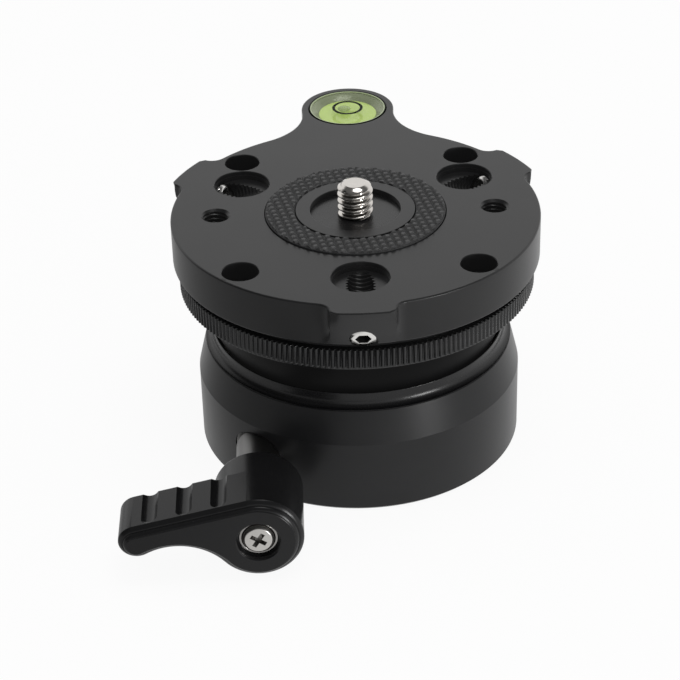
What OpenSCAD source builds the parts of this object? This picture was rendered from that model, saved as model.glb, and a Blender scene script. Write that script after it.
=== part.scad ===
// Leveling base: a round platform on a half ball, held in a drum-shaped base.
// Units are mm. +Z is up, the origin is on the drum's axis at its underside.
// The lobe with the bubble level points to +Y, the clamp lever's axis runs along -Y.

/* [Output] */
// sub-part to draw, or all of them

/* [Half ball] */
// outer diameter of the ball
ball_d = 56.6; // [52:0.2:60]
// thickness of the hollow ball's wall
ball_wall = 9.1; // [8:0.1:10]
// thickness of the neck's wall over the ball
neck_wall = 5.8; // [4.8:0.1:6.8]
// gap between round faces that move on one another
ball_gap = 0.3; // [0.25:0.01:0.35]
// gap under the ball over the bowl's bottom
bowl_gap = 0.6; // [0.5:0.05:0.7]
// running clearance of a shaft in its bore, on the radius
fit = 0.05; // [0.02:0.01:0.08]
// furthest tilt to any side, in degrees
tilt_limit = 15; // [12:0.5:15]
// thickness of the floating liner
liner_t = 0.95; // [0.8:0.05:1.1]
// distance of the liner's upper edge below the ball's centre
liner_drop = 6.3; // [5.5:0.1:7]
// thickness of the domed hold cap
cap_t = 3; // [2.6:0.1:3.4]
// distance of the cap's upper edge below the ball's centre
cap_drop = 9; // [8.2:0.1:10]
// height of the cap's flat seat over its hollow
cap_hub_h = 0.6; // [0.4:0.1:0.8]

/* [Base drum] */
// thickness of the drum under the bowl
bowl_floor = 5.1; // [4.5:0.1:6]
// height of the ball's centre over the drum's top
ball_over = 13.9; // [13:0.1:15]
// distance of the drum's wall outside the ball
base_over = 1.2; // [1:0.1:2]
// height of the tapered shoulder
shoulder_h = 6.2; // [5:0.1:7.5]
// distance that the shoulder tapers in
shoulder_in = 1.5; // [1:0.1:1.7]
// chamfer round the drum's underside
base_edge = 0.6; // [0.3:0.1:1]
// height of the rim ring on top of the drum
rim_h = 2.85; // [2.5:0.05:3.2]
// distance of the rim ring inside the shoulder's edge
rim_in = 0.1; // [0.05:0.05:0.3]
// width of the rim ring's top edge
rim_land = 0.25; // [0.15:0.05:0.4]
// thickness of the rim ring's foot at its outer edge
rim_foot = 0.1; // [0.05:0.05:0.3]
// wall of the drum outside the plastic seat ring
seat_wall = 1.8; // [1.5:0.1:2]
// minor diameter of the 3/8 inch support thread
support_thread_d = 7.94; // [7.8:0.02:8.15]
// wall of the support thread's steel bush
insert_wall = 1.63; // [1.4:0.01:1.9]
// wall of the central post round the bush
post_wall = 1.4; // [1.2:0.1:1.7]
// wall between the bush and the centre bolt's thread
thread_wall = 0.85; // [0.6:0.05:1.2]

/* [Centre bolt] */
// diameter of the bolt's shoulder, on which the cap turns
bolt_d = 6; // [5.4:0.1:6.6]
// diameter of its threaded end
bolt_thread_d = 4; // [3.6:0.1:4.6]
// length of its threaded end
bolt_thread_h = 5.6; // [5:0.1:6.2]
// diameter of its head
bolt_head_d = 9; // [8.5:0.25:10]
// height of its head
bolt_head_h = 3; // [2.6:0.1:3.4]
// size of its hexagon socket across the corners
bolt_hex_d = 4.6; // [4:0.1:5]
// number of disc springs
disc_count = 4; // [3:1:5]
// thickness of one disc spring
disc_t = 0.5; // [0.4:0.05:0.6]
// rise of one disc spring's cone
disc_rise = 0.6; // [0.5:0.05:0.7]
// outer diameter of the disc springs
disc_d = 12; // [11:0.25:13]
// free space round them on the cap's flat seat
disc_over = 0.5; // [0.4:0.1:0.8]

/* [Knurled ring] */
// width of the ring from the neck to its serrations' tips
ring_w = 7.05; // [6.5:0.05:7.6]
// height of the ring
ring_h = 3.95; // [3.6:0.05:4.4]
// distance of its underside below the ball's centre
ring_drop = 2.95; // [2.7:0.05:3.2]
// chamfer on its outer edges
ring_edge = 0.4; // [0.2:0.1:0.6]
// height of the open groove between ring and platform
groove_h = 1.75; // [1.5:0.05:2]
// depth of that groove from the ring's outside
groove_in = 1.35; // [1.1:0.05:1.6]

/* [Platform] */
// distance of the plate's edge outside the ring
plate_over = 0.95; // [0.8:0.05:1.2]
// thickness of the plate
plate_t = 7.75; // [7.2:0.05:8.4]
// distance of a tab's top edge from the plate's edge
tab_out = 2.8; // [2.4:0.1:3.2]
// slope of a tab's face in under its top edge, in degrees
tab_slope = 21; // [18:0.5:24]
// width of a tab
tab_w = 11.1; // [9.5:0.1:12.5]
// radius in the corner between a tab and the plate
tab_fillet = 2.2; // [1.8:0.1:2.6]
// distance of the level's centre outside the plate's edge
lobe_over = 9.3; // [8.5:0.1:10.5]
// wall of the lobe round the level
lobe_wall = 1.35; // [1.2:0.05:1.6]
// radius of the hollow curve from the lobe to the plate
lobe_fillet = 12.4; // [11:0.2:13.4]
// diameter of the hub under the plate, inside the ball
hub_d = 24; // [21:0.5:26]
// depth of that hub below the ring's top
hub_h = 2.4; // [2:0.1:2.8]
// distance of the cap screws inside the ring's edge
screw_in = 3.25; // [3:0.05:3.6]
// diameter of their counterbores
screw_pit_d = 6.4; // [6.2:0.05:6.8]
// depth from the plate's top to the screw heads
screw_pit_h = 3.2; // [2.8:0.1:3.5]
// diameter of a cap screw's thread
cap_screw_d = 3; // [2.8:0.05:3.2]
// diameter of a cap screw's head
cap_head_d = 5.6; // [5.3:0.1:5.9]
// height of a cap screw's head
cap_head_h = 2.6; // [2.4:0.1:2.8]
// reach of a cap screw's thread into the ring
cap_screw_grip = 3; // [2.5:0.1:3.4]
// distance of the two accessory threads inside the plate's edge
side_in = 8.1; // [7.6:0.1:8.6]
// minor diameter of the accessory threads
side_hole_d = 4.2; // [4.1:0.05:4.3]
// diameter of their countersinks
side_sink_d = 5.2; // [5:0.1:5.8]
// depth of the accessory threads
side_hole_h = 6.6; // [5.6:0.1:7.2]
// distance of a round pocket inside its tab's face
pocket_in = 12.3; // [11.8:0.1:12.8]
// diameter of a pocket
pocket_d = 10.1; // [9.6:0.1:10.6]
// depth of a pocket
pocket_h = 1.6; // [1.4:0.1:1.9]

/* [Set screws] */
// diameter of a set screw
set_d = 4.9; // [4.6:0.05:5]
// length of a set screw
set_l = 8; // [7:0.1:9]
// slope of its bore up towards the middle, in degrees
set_slope = 28.5; // [26:0.5:31]
// height of the bore's mouth above the plate's underside
set_mouth_h = 1; // [0.9:0.05:1.3]
// depth of a screw's end inside the mouth
set_sunk = 0.2; // [0.1:0.05:0.4]
// hexagon socket across the corners
set_hex_d = 2.9; // [2.5:0.05:3.2]
// depth of the socket
set_hex_h = 2.4; // [2:0.1:3]
// chamfer at a screw's ends
set_edge = 0.45; // [0.3:0.05:0.6]

/* [Stud and grip ring] */
// major diameter of the 1/4 inch stud
stud_d = 6.35; // [6.3:0.01:6.4]
// height of the stud above the plate
stud_rise = 5.6; // [5:0.1:6.5]
// length of the stud inside the plate
stud_root = 10.4; // [9.6:0.1:11]
// chamfer at the stud's tip
stud_edge = 0.7; // [0.5:0.05:0.9]
// diameter of the stud's root inside the plate
stud_root_d = 5.35; // [5:0.05:5.8]
// thickness of the disc round the stud
disc_plate_t = 2; // [1.6:0.1:2.4]
// depth of the disc's face below the boss round it
disc_sunk = 1; // [0.8:0.1:1.2]
// width of that boss round the disc
boss_w = 2.58; // [2.2:0.02:2.9]
// height of that boss above the plate
boss_rise = 0.45; // [0.35:0.05:0.55]
// outer diameter of the rubber ring
grip_d = 32.2; // [30:0.1:34]
// width of the rubber ring
grip_w = 5.3; // [4.8:0.1:5.8]
// thickness of the rubber ring
grip_t = 1.7; // [1.5:0.1:2]
// height of the rubber ring above the plate
grip_rise = 0.65; // [0.6:0.05:0.75]
// gap between the rubber ring and the walls of its groove
grip_gap = 0.12; // [0.08:0.01:0.15]

/* [Bubble level] */
// outer diameter of the level's cup
vial_d = 15.2; // [14:0.1:16.4]
// depth of the level in the lobe
vial_h = 6; // [5.2:0.1:6.8]
// wall thickness of the cup
vial_wall = 0.7; // [0.6:0.05:0.9]
// thickness of the clear cover
lens_t = 1.1; // [0.9:0.1:1.3]
// radius of the air bubble
bubble_r = 1.25; // [1.1:0.05:1.4]
// height of the air bubble
bubble_h = 0.7; // [0.6:0.05:0.8]
// sideways place of the bubble off the ring's centre
bubble_off = 0.6; // [0.4:0.1:0.8]
// outer diameter of the black target ring
target_d = 5.8; // [5.4:0.05:6.6]
// line width of the target ring
target_w = 0.3; // [0.25:0.05:0.35]
// thickness of the target ring
target_t = 0.15; // [0.12:0.01:0.2]

/* [Lever shaft] */
// diameter of the shaft
shaft_d = 7.94; // [7.4:0.02:8.4]
// distance of the shaft's axis inside the drum's side
shaft_in = 10.7; // [10:0.1:11.4]
// length of the shaft's bore in the drum, on its axis
shaft_reach = 9.8; // [9.4:0.1:10.4]
// wall between the shaft's bore and the bowl
shaft_wall = 1.5; // [1.2:0.1:1.8]
// length of the eccentric
cam_l = 4.8; // [4.4:0.05:5.2]
// offset of the eccentric
cam_off = 0.5; // [0.4:0.05:0.6]
// distance of the eccentric inside the shaft's outline
cam_in = 0.47; // [0.4:0.01:0.6]
// diameter of the shaft's inner journal
journal_d = 4; // [3.6:0.1:4.4]
// length of the inner journal
journal_l = 4.6; // [4:0.1:5]
// diameter of the brake shoe
shoe_d = 4.2; // [3.8:0.1:4.4]
// width of the collar between the eccentric and the retaining groove
catch_over = 0.7; // [0.5:0.1:0.9]
// width of that groove
catch_w = 2.2; // [2:0.1:2.4]
// depth of that groove
catch_h = 0.97; // [0.8:0.01:1.1]
// diameter of the retaining screw
catch_screw_d = 2.5; // [2.3:0.05:2.6]
// diameter of the retaining screw's tip
catch_tip_d = 1.6; // [1.4:0.1:1.8]
// socket of the retaining screw across the corners
catch_hex_d = 1.5; // [1.3:0.05:1.6]

/* [Lever handle] */
// gap between the drum's side and the hub's rear face
lever_clear = 3.6; // [3:0.1:4.5]
// radius of the hub
lever_hub_r = 7.75; // [7:0.05:8.5]
// distance from the hub's axis to the arm's round end
lever_arm_l = 20.6; // [18:0.2:24]
// radius of the arm's round end
lever_end_r = 3.1; // [2.7:0.05:3.6]
// radius of the hollow curve under the arm
lever_cove_r = 10.5; // [9.5:0.25:12]
// width of the arm along the hub's axis
lever_arm_w = 10.5; // [9:0.1:12]
// chamfer round the front face
lever_edge = 1.5; // [1.1:0.1:1.9]
// number of finger grooves
groove_count = 3; // [2:1:3]
// radius of a finger groove
finger_r = 1.7; // [1.4:0.05:2]
// depth of a finger groove
finger_h = 0.75; // [0.5:0.05:0.9]
// spacing of the finger grooves along the arm
finger_step = 5.9; // [5.2:0.1:6.4]
// distance of the first groove from the hub's axis
finger_first = 6.7; // [6:0.1:7.5]
// distance of the grooves' ends from the front face
finger_end = 2.8; // [2.2:0.1:3.4]
// depth of the hub's rear bore over the shaft
socket_l = 3; // [2.6:0.1:3.6]
// diameter of the shaft's splined end
spline_d = 5.9; // [5.6:0.02:6.2]
// length of that end
spline_l = 4.1; // [3.6:0.05:4.8]
// gap between the splined end and the sleeve's inner shoulder
spline_gap = 0.3; // [0.25:0.05:0.4]
// wall of the bright sleeve round the splined end
sleeve_wall = 0.425; // [0.4:0.025:0.6]
// thickness of the sleeve's inner shoulder
shoulder_t = 0.5; // [0.4:0.05:0.7]
// wall of the sleeve round the spring
spring_wall = 0.525; // [0.4:0.025:0.6]
// depth of the sleeve's front end in the hub
sleeve_sunk = 1.2; // [1:0.1:1.5]
// gap round the sleeve in the hub's counterbore
pit_gap = 0.275; // [0.2:0.025:0.4]
// length of the spring's room
spring_l = 4.6; // [4.2:0.1:5.4]
// gap between the spring and the sleeve
spring_gap = 0.4; // [0.3:0.05:0.45]
// diameter of the spring's wire
wire_d = 0.5; // [0.45:0.01:0.55]
// curls of the spring
spring_curls = 3.5; // [3:0.5:3.5]
// diameter of the cross-head screw's thread
lever_screw_d = 3; // [2.8:0.05:3.2]
// gap round its head in the sleeve
head_gap = 0.15; // [0.1:0.05:0.25]
// height of its head
lever_head_h = 2; // [1.8:0.1:2.3]
// length of its thread in the shaft
lever_screw_grip = 3.6; // [3:0.1:4.2]
// width of a cross slot
cross_w = 0.9; // [0.8:0.05:1.1]
// length of a cross slot
cross_l = 3.2; // [2.8:0.1:3.6]
// depth of the cross
cross_h = 1.1; // [1:0.1:1.3]

/* [Hidden] */
$fn = 96;

// cuts run past the faces they open by this much
past = 1;

// the three tabs, their pockets and their set screws
tab_turns = [0, 120, 240];
// the four cap screws stand between the axes
screw_turns = [45, 135, 225, 315];

// radii of the nested spheres round the ball's centre
ball_r = ball_d / 2;
hollow_r = ball_r - ball_wall;
liner_out_r = hollow_r - ball_gap;
liner_in_r = liner_out_r - liner_t;
cap_out_r = liner_in_r - ball_gap;
cap_in_r = cap_out_r - cap_t;
bowl_r = ball_r + bowl_gap;
seat_r = ball_r + ball_gap;

// the drum stands round the ball
ball_z = bowl_r + bowl_floor;
base_h = ball_z - ball_over;
base_wall_h = base_h - shoulder_h;
base_r = ball_r + base_over;
shoulder_r = base_r - shoulder_in;
rim_r = shoulder_r - rim_in;
rim_top = base_h + rim_h;
seat_ring_r = shoulder_r - seat_wall;
insert_r = support_thread_d / 2 + insert_wall;
post_r = insert_r + post_wall;

// the ring and the plate stand out from the ball's neck
neck_r = hollow_r + neck_wall;
ring_r = neck_r + ring_w;
groove_r = ring_r - groove_in;
plate_r = ring_r + plate_over;
screw_reach = ring_r - screw_in;
side_reach = plate_r - side_in;
tab_reach = plate_r + tab_out;
pocket_reach = tab_reach - pocket_in;
lobe_y = plate_r + lobe_over;
lobe_r = vial_d / 2 + lobe_wall;

// radius of a sphere round the ball's centre, at a height
function slice_r(r, z) = sqrt(r * r - (z - ball_z) * (z - ball_z));

// heights from the ball up to the platform
ring_z = ball_z - ring_drop;
ring_top = ring_z + ring_h;
plate_z = ring_top + groove_h;
plate_top = plate_z + plate_t;

// the ball's opening is a cone that clears the post at the furthest tilt
post_free_r = post_r + ball_gap + fit;
function open_r(depth) = (post_free_r + depth * sin(tilt_limit)) / cos(tilt_limit);
// height of the cone's upper end below the centre, as a share of the hollow's radius
open_share = 0.5;

// the post's top stays clear of the cap
post_top = ball_z - cap_out_r - ball_gap;
bolt_root = post_top - bolt_thread_h;
insert_h = bolt_root - thread_wall;
cap_hub_top = ball_z - cap_in_r + cap_hub_h;
disc_stack_h = disc_count * (disc_t + disc_rise);
bolt_head_z = cap_hub_top + ball_gap + disc_stack_h;
disc_hole_r = bolt_d / 2 + ball_gap;

// the shaft's axis runs under the bowl, a wall away from it
shaft_r = shaft_d / 2;
shaft_x = base_r - shaft_in;
shaft_end = sqrt(base_r * base_r - shaft_x * shaft_x) - shaft_reach;
shaft_far = bowl_r + shaft_r + shaft_wall;
shaft_z = ball_z - sqrt(shaft_far * shaft_far - shaft_x * shaft_x - shaft_end * shaft_end);
cam_r = shaft_r - cam_off - cam_in;
cam_front = shaft_end + cam_l;
catch_r = shaft_r - catch_h;
catch_y = cam_front + catch_over + catch_w / 2;

// the brake shoe stands on the eccentric and points at the ball's centre
shoe_r = shoe_d / 2;
shoe_y = shaft_end + cam_l / 2;
shoe_turn = atan2(shaft_x, ball_z - shaft_z);
shoe_far = norm([shaft_x, ball_z - shaft_z]);
shoe_foot = cam_r + cam_off + ball_gap;
shoe_tip = shoe_far - sqrt(seat_r * seat_r - pow(shoe_y + shoe_r, 2));
// the seat ring's underside stays clear of the shoe
seat_z = shaft_z + shoe_tip * cos(shoe_turn) + shoe_r * sin(shoe_turn) + ball_gap;

// places along the lever's axis, from the drum outwards
hub_rear = base_r + lever_clear;
shaft_step = hub_rear + socket_l;
spline_tip = shaft_step + spline_l;
shoulder_y = spline_tip + spline_gap;
spring_y = shoulder_y + shoulder_t;
head_y = spring_y + spring_l;
sleeve_front = head_y + lever_head_h;
lever_front = sleeve_front + sleeve_sunk;
lever_screw_l = head_y - spline_tip + lever_screw_grip;

// radii inside the lever's hub
sleeve_r = spline_d / 2 + sleeve_wall;
spring_room_r = sleeve_r - spring_wall;
head_r = spring_room_r - head_gap;
spring_r = spring_room_r - spring_gap - wire_d / 2;

// levels round the stud
boss_top = plate_top + boss_rise;
disc_top = boss_top - disc_sunk;
grip_z = plate_top + grip_rise - grip_t;
grip_in_r = grip_d / 2 - grip_w;
boss_r = grip_in_r - grip_gap;
disc_plate_r = boss_r - boss_w;

// levels in the bubble level
vial_floor = plate_top - vial_h + vial_wall;
vial_in_r = vial_d / 2 - vial_wall;
liquid_top = plate_top - lens_t;

// the set screws' bores, measured along their slope from the mouth
set_mouth_z = plate_z + set_mouth_h;
set_mouth_reach = tab_reach - (plate_top - set_mouth_z) * tan(tab_slope);
set_bore_r = set_d / 2 + fit;
pocket_floor = plate_top - pocket_h;
set_bore_l = (pocket_floor - set_mouth_z + set_bore_r * cos(set_slope)) / sin(set_slope);

// the hollow curve's centre under the lever's arm touches both round ends
cove_a = lever_hub_r + lever_cove_r;
cove_b = lever_end_r + lever_cove_r;
cove_x = (cove_a * cove_a - cove_b * cove_b + lever_arm_l * lever_arm_l) / (2 * lever_arm_l);
cove_z = -sqrt(cove_a * cove_a - cove_x * cove_x);
// slope of the arm's straight top
arm_slope = asin((lever_hub_r - lever_end_r) / lever_arm_l);

// colours
black = [0.10, 0.10, 0.11];
satin = [0.16, 0.16, 0.17];
steel = [0.72, 0.72, 0.74];
rubber = [0.08, 0.08, 0.08];
nylon = [0.82, 0.80, 0.74];
green = [0.72, 0.83, 0.30];
clear = [0.88, 0.95, 0.80, 0.4];

// turn about the upright axis for each angle in a list
module around(turns) {
    for (a = turns) rotate([0, 0, a]) children();
}

// a ring with square edges
module ring(outer_r, inner_r, h) {
    difference() {
        cylinder(r = outer_r, h = h);
        translate([0, 0, -past]) cylinder(r = inner_r, h = h + 2 * past);
    }
}

// move to the lever's axis; local Z then runs out of the drum along -Y
module on_shaft() {
    translate([-shaft_x, 0, shaft_z]) rotate([90, 0, 0]) children();
}

// move to the brake shoe; local Z then runs from the shaft to the ball's centre
module on_shoe() {
    translate([-shaft_x, -shoe_y, shaft_z]) rotate([0, shoe_turn, 0]) children();
}

// move to the mouth of the front set screw; local Z then runs in along the bore
module on_set() {
    translate([0, -set_mouth_reach, set_mouth_z]) rotate([set_slope - 90, 0, 0]) children();
}

// the opening under the ball, with room for the post at the furthest tilt
module ball_opening() {
    high = open_share * hollow_r;
    low = ball_r;
    translate([0, 0, ball_z - low])
        cylinder(r1 = open_r(low), r2 = open_r(high), h = low - high);
}

// drum with bowl, post and bores
module base_housing() {
    color(black)
    difference() {
        union() {
            difference() {
                rotate_extrude()
                    polygon([[0, 0], [base_r - base_edge, 0], [base_r, base_edge],
                             [base_r, base_wall_h], [shoulder_r, base_h], [0, base_h]]);
                translate([0, 0, ball_z]) sphere(r = bowl_r);
                translate([0, 0, seat_z]) cylinder(r = seat_ring_r, h = base_h - seat_z + past);
            }
            cylinder(r = post_r, h = post_top);
        }
        translate([0, 0, -past]) cylinder(r = insert_r, h = insert_h + past);
        translate([0, 0, bolt_root]) cylinder(d = bolt_thread_d, h = bolt_thread_h + past);
        on_shaft() {
            translate([0, 0, shaft_end]) cylinder(r = shaft_r + fit, h = base_r);
            translate([0, 0, shaft_end - journal_l - fit])
                cylinder(d = journal_d + 2 * fit, h = journal_l + past);
        }
        on_shoe() cylinder(d = shoe_d + 2 * fit, h = shoe_far - bowl_r / 2);
        translate([-shaft_x, -catch_y, -past])
            cylinder(d = catch_screw_d, h = shaft_z + past);
    }
}

// lip ring on the drum: a thin collar that runs out in a hollow curve to the shoulder
module rim_ring() {
    bore_low = slice_r(seat_r, base_h) + fit;
    bore_top = slice_r(seat_r, rim_top) + fit;
    collar_r = bore_top + rim_land;
    cove_r = rim_r - collar_r;
    cove_z = base_h + rim_foot + cove_r;
    color(black)
    rotate_extrude()
        difference() {
            polygon([[bore_low, base_h], [rim_r, base_h], [rim_r, cove_z],
                     [collar_r, cove_z], [collar_r, rim_top], [bore_top, rim_top]]);
            translate([rim_r, cove_z]) circle(r = cove_r);
        }
}

// plastic ring with a hollow round face for the ball
module seat_ring() {
    color(nylon)
    difference() {
        translate([0, 0, seat_z]) cylinder(r = seat_ring_r, h = base_h - seat_z);
        translate([0, 0, ball_z]) sphere(r = seat_r);
    }
}

// steel bush with the support thread
module thread_insert() {
    color(steel) ring(insert_r, support_thread_d / 2, insert_h);
}

// shouldered bolt that holds the ball down
module center_bolt() {
    color(steel)
    difference() {
        union() {
            translate([0, 0, bolt_root]) cylinder(d = bolt_thread_d, h = bolt_thread_h);
            translate([0, 0, post_top]) cylinder(d = bolt_d, h = bolt_head_z - post_top);
            translate([0, 0, bolt_head_z]) cylinder(d = bolt_head_d, h = bolt_head_h);
        }
        translate([0, 0, bolt_head_z + bolt_head_h / 2])
            cylinder(d = bolt_hex_d, h = bolt_head_h, $fn = 6);
    }
}

// disc springs, stacked face to face by turns
module disc_springs() {
    disc_r = disc_d / 2;
    color(steel)
    for (i = [0:disc_count - 1])
        translate([0, 0, bolt_head_z - disc_stack_h + i * (disc_t + disc_rise)])
            rotate_extrude()
                polygon(i % 2 == 0
                    ? [[disc_hole_r, disc_rise], [disc_r, 0],
                       [disc_r, disc_t], [disc_hole_r, disc_rise + disc_t]]
                    : [[disc_hole_r, 0], [disc_r, disc_rise],
                       [disc_r, disc_rise + disc_t], [disc_hole_r, disc_t]]);
}

// set screw from below, its tip in the shaft's groove
module shaft_retainer() {
    tip_z = shaft_z - catch_r - ball_gap;
    body_z = shaft_z - shaft_r - ball_gap;
    color(steel)
    translate([-shaft_x, -catch_y, 0])
    difference() {
        union() {
            translate([0, 0, base_edge]) cylinder(d = catch_screw_d, h = body_z - base_edge);
            translate([0, 0, base_edge]) cylinder(d = catch_tip_d, h = tip_z - base_edge);
        }
        translate([0, 0, base_edge - past])
            cylinder(d = catch_hex_d, h = body_z / 2 + past, $fn = 6);
    }
}

// domed washer that pulls the ball into the bowl, with a flat seat for the disc springs
module hold_cap() {
    seat_flat_r = disc_d / 2 + disc_over;
    color(steel)
    difference() {
        intersection() {
            translate([0, 0, ball_z]) sphere(r = cap_out_r);
            union() {
                difference() {
                    cylinder(r = ball_r, h = ball_z - cap_drop);
                    translate([0, 0, ball_z]) sphere(r = cap_in_r);
                }
                cylinder(r = seat_flat_r, h = cap_hub_top);
            }
        }
        translate([0, 0, cap_hub_top]) cylinder(r = seat_flat_r, h = cap_in_r);
        cylinder(r = bolt_d / 2 + fit, h = ball_z);
    }
}

// thin plastic shell between cap and ball
module ball_liner() {
    color(nylon)
    difference() {
        intersection() {
            translate([0, 0, ball_z]) sphere(r = liner_out_r);
            cylinder(r = ball_r, h = ball_z - liner_drop);
        }
        translate([0, 0, ball_z]) sphere(r = liner_in_r);
        ball_opening();
    }
}

// hollow half ball with a neck for the ring
module half_ball() {
    color(black)
    difference() {
        union() {
            intersection() {
                translate([0, 0, ball_z]) sphere(r = ball_r);
                cylinder(r = ball_r, h = ring_z);
            }
            translate([0, 0, ring_z - past]) cylinder(r = neck_r, h = ring_h + past);
        }
        translate([0, 0, ball_z]) sphere(r = hollow_r);
        translate([0, 0, ball_z]) cylinder(r = hollow_r, h = ring_h);
        ball_opening();
    }
}

// grip ring round the neck
module knurled_ring() {
    color(black)
    difference() {
        rotate_extrude()
            polygon([[neck_r, ring_z], [ring_r - ring_edge, ring_z],
                     [ring_r, ring_z + ring_edge], [ring_r, ring_top - ring_edge],
                     [ring_r - ring_edge, ring_top], [neck_r, ring_top]]);
        around(screw_turns)
            translate([screw_reach, 0, ring_top - cap_screw_grip])
                cylinder(d = cap_screw_d, h = ring_h);
    }
}

// outline of the plate: disc and long lobe
module plate_outline() {
    side_y = (pow(plate_r + lobe_fillet, 2) - pow(lobe_r + lobe_fillet, 2)
              + lobe_y * lobe_y) / (2 * lobe_y);
    side_x = sqrt(pow(plate_r + lobe_fillet, 2) - side_y * side_y);
    circle(r = plate_r);
    translate([0, lobe_y]) circle(r = lobe_r);
    difference() {
        polygon([[-side_x, side_y], [0, lobe_y], [side_x, side_y], [0, 0]]);
        for (s = [-1, 1]) translate([s * side_x, side_y]) circle(r = lobe_fillet);
    }
}

// outline of the front tab with its hollow corners
module tab_outline() {
    half_w = tab_w / 2;
    corner_x = half_w + tab_fillet;
    corner_y = sqrt(pow(plate_r + tab_fillet, 2) - corner_x * corner_x);
    translate([-half_w, -tab_reach]) square([tab_w, tab_reach]);
    for (s = [-1, 1])
        difference() {
            polygon([[0, 0], [0, -corner_y], [s * corner_x, -corner_y]]);
            translate([s * corner_x, -corner_y]) circle(r = tab_fillet);
        }
}

// the three tabs, turned to one cone that narrows downwards
module tabs() {
    low_r = tab_reach - plate_t * tan(tab_slope);
    intersection() {
        around(tab_turns)
            translate([0, 0, plate_z]) linear_extrude(height = plate_t) tab_outline();
        translate([0, 0, plate_z]) cylinder(r1 = low_r, r2 = tab_reach, h = plate_t);
    }
}

// the platform with every pocket and bore
module platform() {
    color(satin)
    difference() {
        union() {
            translate([0, 0, plate_z]) linear_extrude(height = plate_t) plate_outline();
            tabs();
            translate([0, 0, plate_z]) cylinder(r = boss_r, h = boss_top - plate_z);
            translate([0, 0, ring_top]) cylinder(r = groove_r, h = groove_h);
            translate([0, 0, ring_top - hub_h]) cylinder(d = hub_d, h = hub_h);
        }
        around(tab_turns) {
            translate([0, -pocket_reach, pocket_floor])
                cylinder(d = pocket_d, h = pocket_h + past);
            on_set() translate([0, 0, -set_d]) cylinder(r = set_bore_r, h = set_bore_l + set_d);
        }
        around(screw_turns) {
            translate([screw_reach, 0, plate_top - screw_pit_h - cap_head_h])
                cylinder(d = screw_pit_d, h = screw_pit_h + cap_head_h + past);
            translate([screw_reach, 0, ring_top - past])
                cylinder(r = cap_screw_d / 2 + fit, h = plate_t);
        }
        for (s = [-1, 1]) translate([s * side_reach, 0, plate_top]) {
            translate([0, 0, -side_hole_h]) cylinder(d = side_hole_d, h = side_hole_h + past);
            sink_h = (side_sink_d - side_hole_d) / 2;
            translate([0, 0, -sink_h])
                cylinder(d1 = side_hole_d, d2 = side_sink_d, h = sink_h);
        }
        translate([0, 0, grip_z]) ring(grip_d / 2 + grip_gap, boss_r, grip_t);
        translate([0, 0, disc_top - disc_plate_t])
            cylinder(r = disc_plate_r, h = disc_plate_t + disc_sunk + past);
        translate([0, 0, ring_top - hub_h - past]) cylinder(d = stud_root_d, h = plate_top);
        translate([0, lobe_y, plate_top - vial_h]) cylinder(d = vial_d, h = vial_h + past);
    }
}

// four socket cap screws through the platform into the ring
module platform_screws() {
    head_z = plate_top - screw_pit_h - cap_head_h;
    color(satin)
    around(screw_turns) translate([screw_reach, 0, 0])
        difference() {
            union() {
                translate([0, 0, ring_top - cap_screw_grip])
                    cylinder(d = cap_screw_d, h = head_z - ring_top + cap_screw_grip);
                translate([0, 0, head_z]) cylinder(d = cap_head_d, h = cap_head_h);
            }
            translate([0, 0, head_z + cap_head_h / 2])
                cylinder(r = cap_screw_d / 2, h = cap_head_h, $fn = 6);
        }
}

// disc round the stud, sunk in the boss
module center_disc() {
    color(satin)
    translate([0, 0, disc_top - disc_plate_t])
        ring(disc_plate_r, stud_root_d / 2, disc_plate_t);
}

// threaded stud, drawn at its major diameter, on a thinner root in the plate
module stud() {
    stud_top = plate_top + stud_rise;
    color(steel) {
        translate([0, 0, plate_top - stud_root])
            cylinder(d = stud_root_d, h = stud_root + stud_rise - stud_edge);
        translate([0, 0, disc_top]) cylinder(d = stud_d, h = stud_top - stud_edge - disc_top);
        translate([0, 0, stud_top - stud_edge])
            cylinder(d1 = stud_d, d2 = stud_d - 2 * stud_edge, h = stud_edge);
    }
}

// rubber ring let into the platform
module friction_ring() {
    color(rubber) translate([0, 0, grip_z]) ring(grip_d / 2, grip_in_r, grip_t);
}

// one inclined set screw with a hexagon socket in its outer end
module set_screw() {
    color(steel)
    on_set() translate([0, 0, set_sunk])
        difference() {
            rotate_extrude()
                polygon([[0, 0], [set_d / 2 - set_edge, 0], [set_d / 2, set_edge],
                         [set_d / 2, set_l - set_edge], [set_d / 2 - set_edge, set_l],
                         [0, set_l]]);
            translate([0, 0, -past]) cylinder(d = set_hex_d, h = set_hex_h + past, $fn = 6);
        }
}

module set_screw_front() {
    rotate([0, 0, tab_turns[0]]) set_screw();
}

module set_screw_right() {
    rotate([0, 0, tab_turns[1]]) set_screw();
}

module set_screw_left() {
    rotate([0, 0, tab_turns[2]]) set_screw();
}

// open cup of the level
module vial_cup() {
    color(green)
    translate([0, lobe_y, plate_top - vial_h])
        difference() {
            cylinder(d = vial_d, h = vial_h);
            translate([0, 0, vial_wall]) cylinder(r = vial_in_r, h = vial_h);
        }
}

// the flat bubble, pressed up against the cover
module bubble_solid() {
    dome_r = (bubble_r * bubble_r + bubble_h * bubble_h) / (2 * bubble_h);
    translate([-bubble_off, lobe_y, liquid_top])
        rotate_extrude()
            intersection() {
                translate([0, dome_r - bubble_h]) circle(r = dome_r);
                translate([0, -bubble_h]) square([bubble_r, bubble_h]);
            }
}

// liquid under the cover, with the bubble's space left out
module vial_liquid() {
    color(green)
    difference() {
        translate([0, lobe_y, vial_floor]) cylinder(r = vial_in_r, h = liquid_top - vial_floor);
        bubble_solid();
        translate([0, lobe_y, liquid_top - target_t])
            ring(target_d / 2, target_d / 2 - target_w, target_t + past);
    }
}

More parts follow.
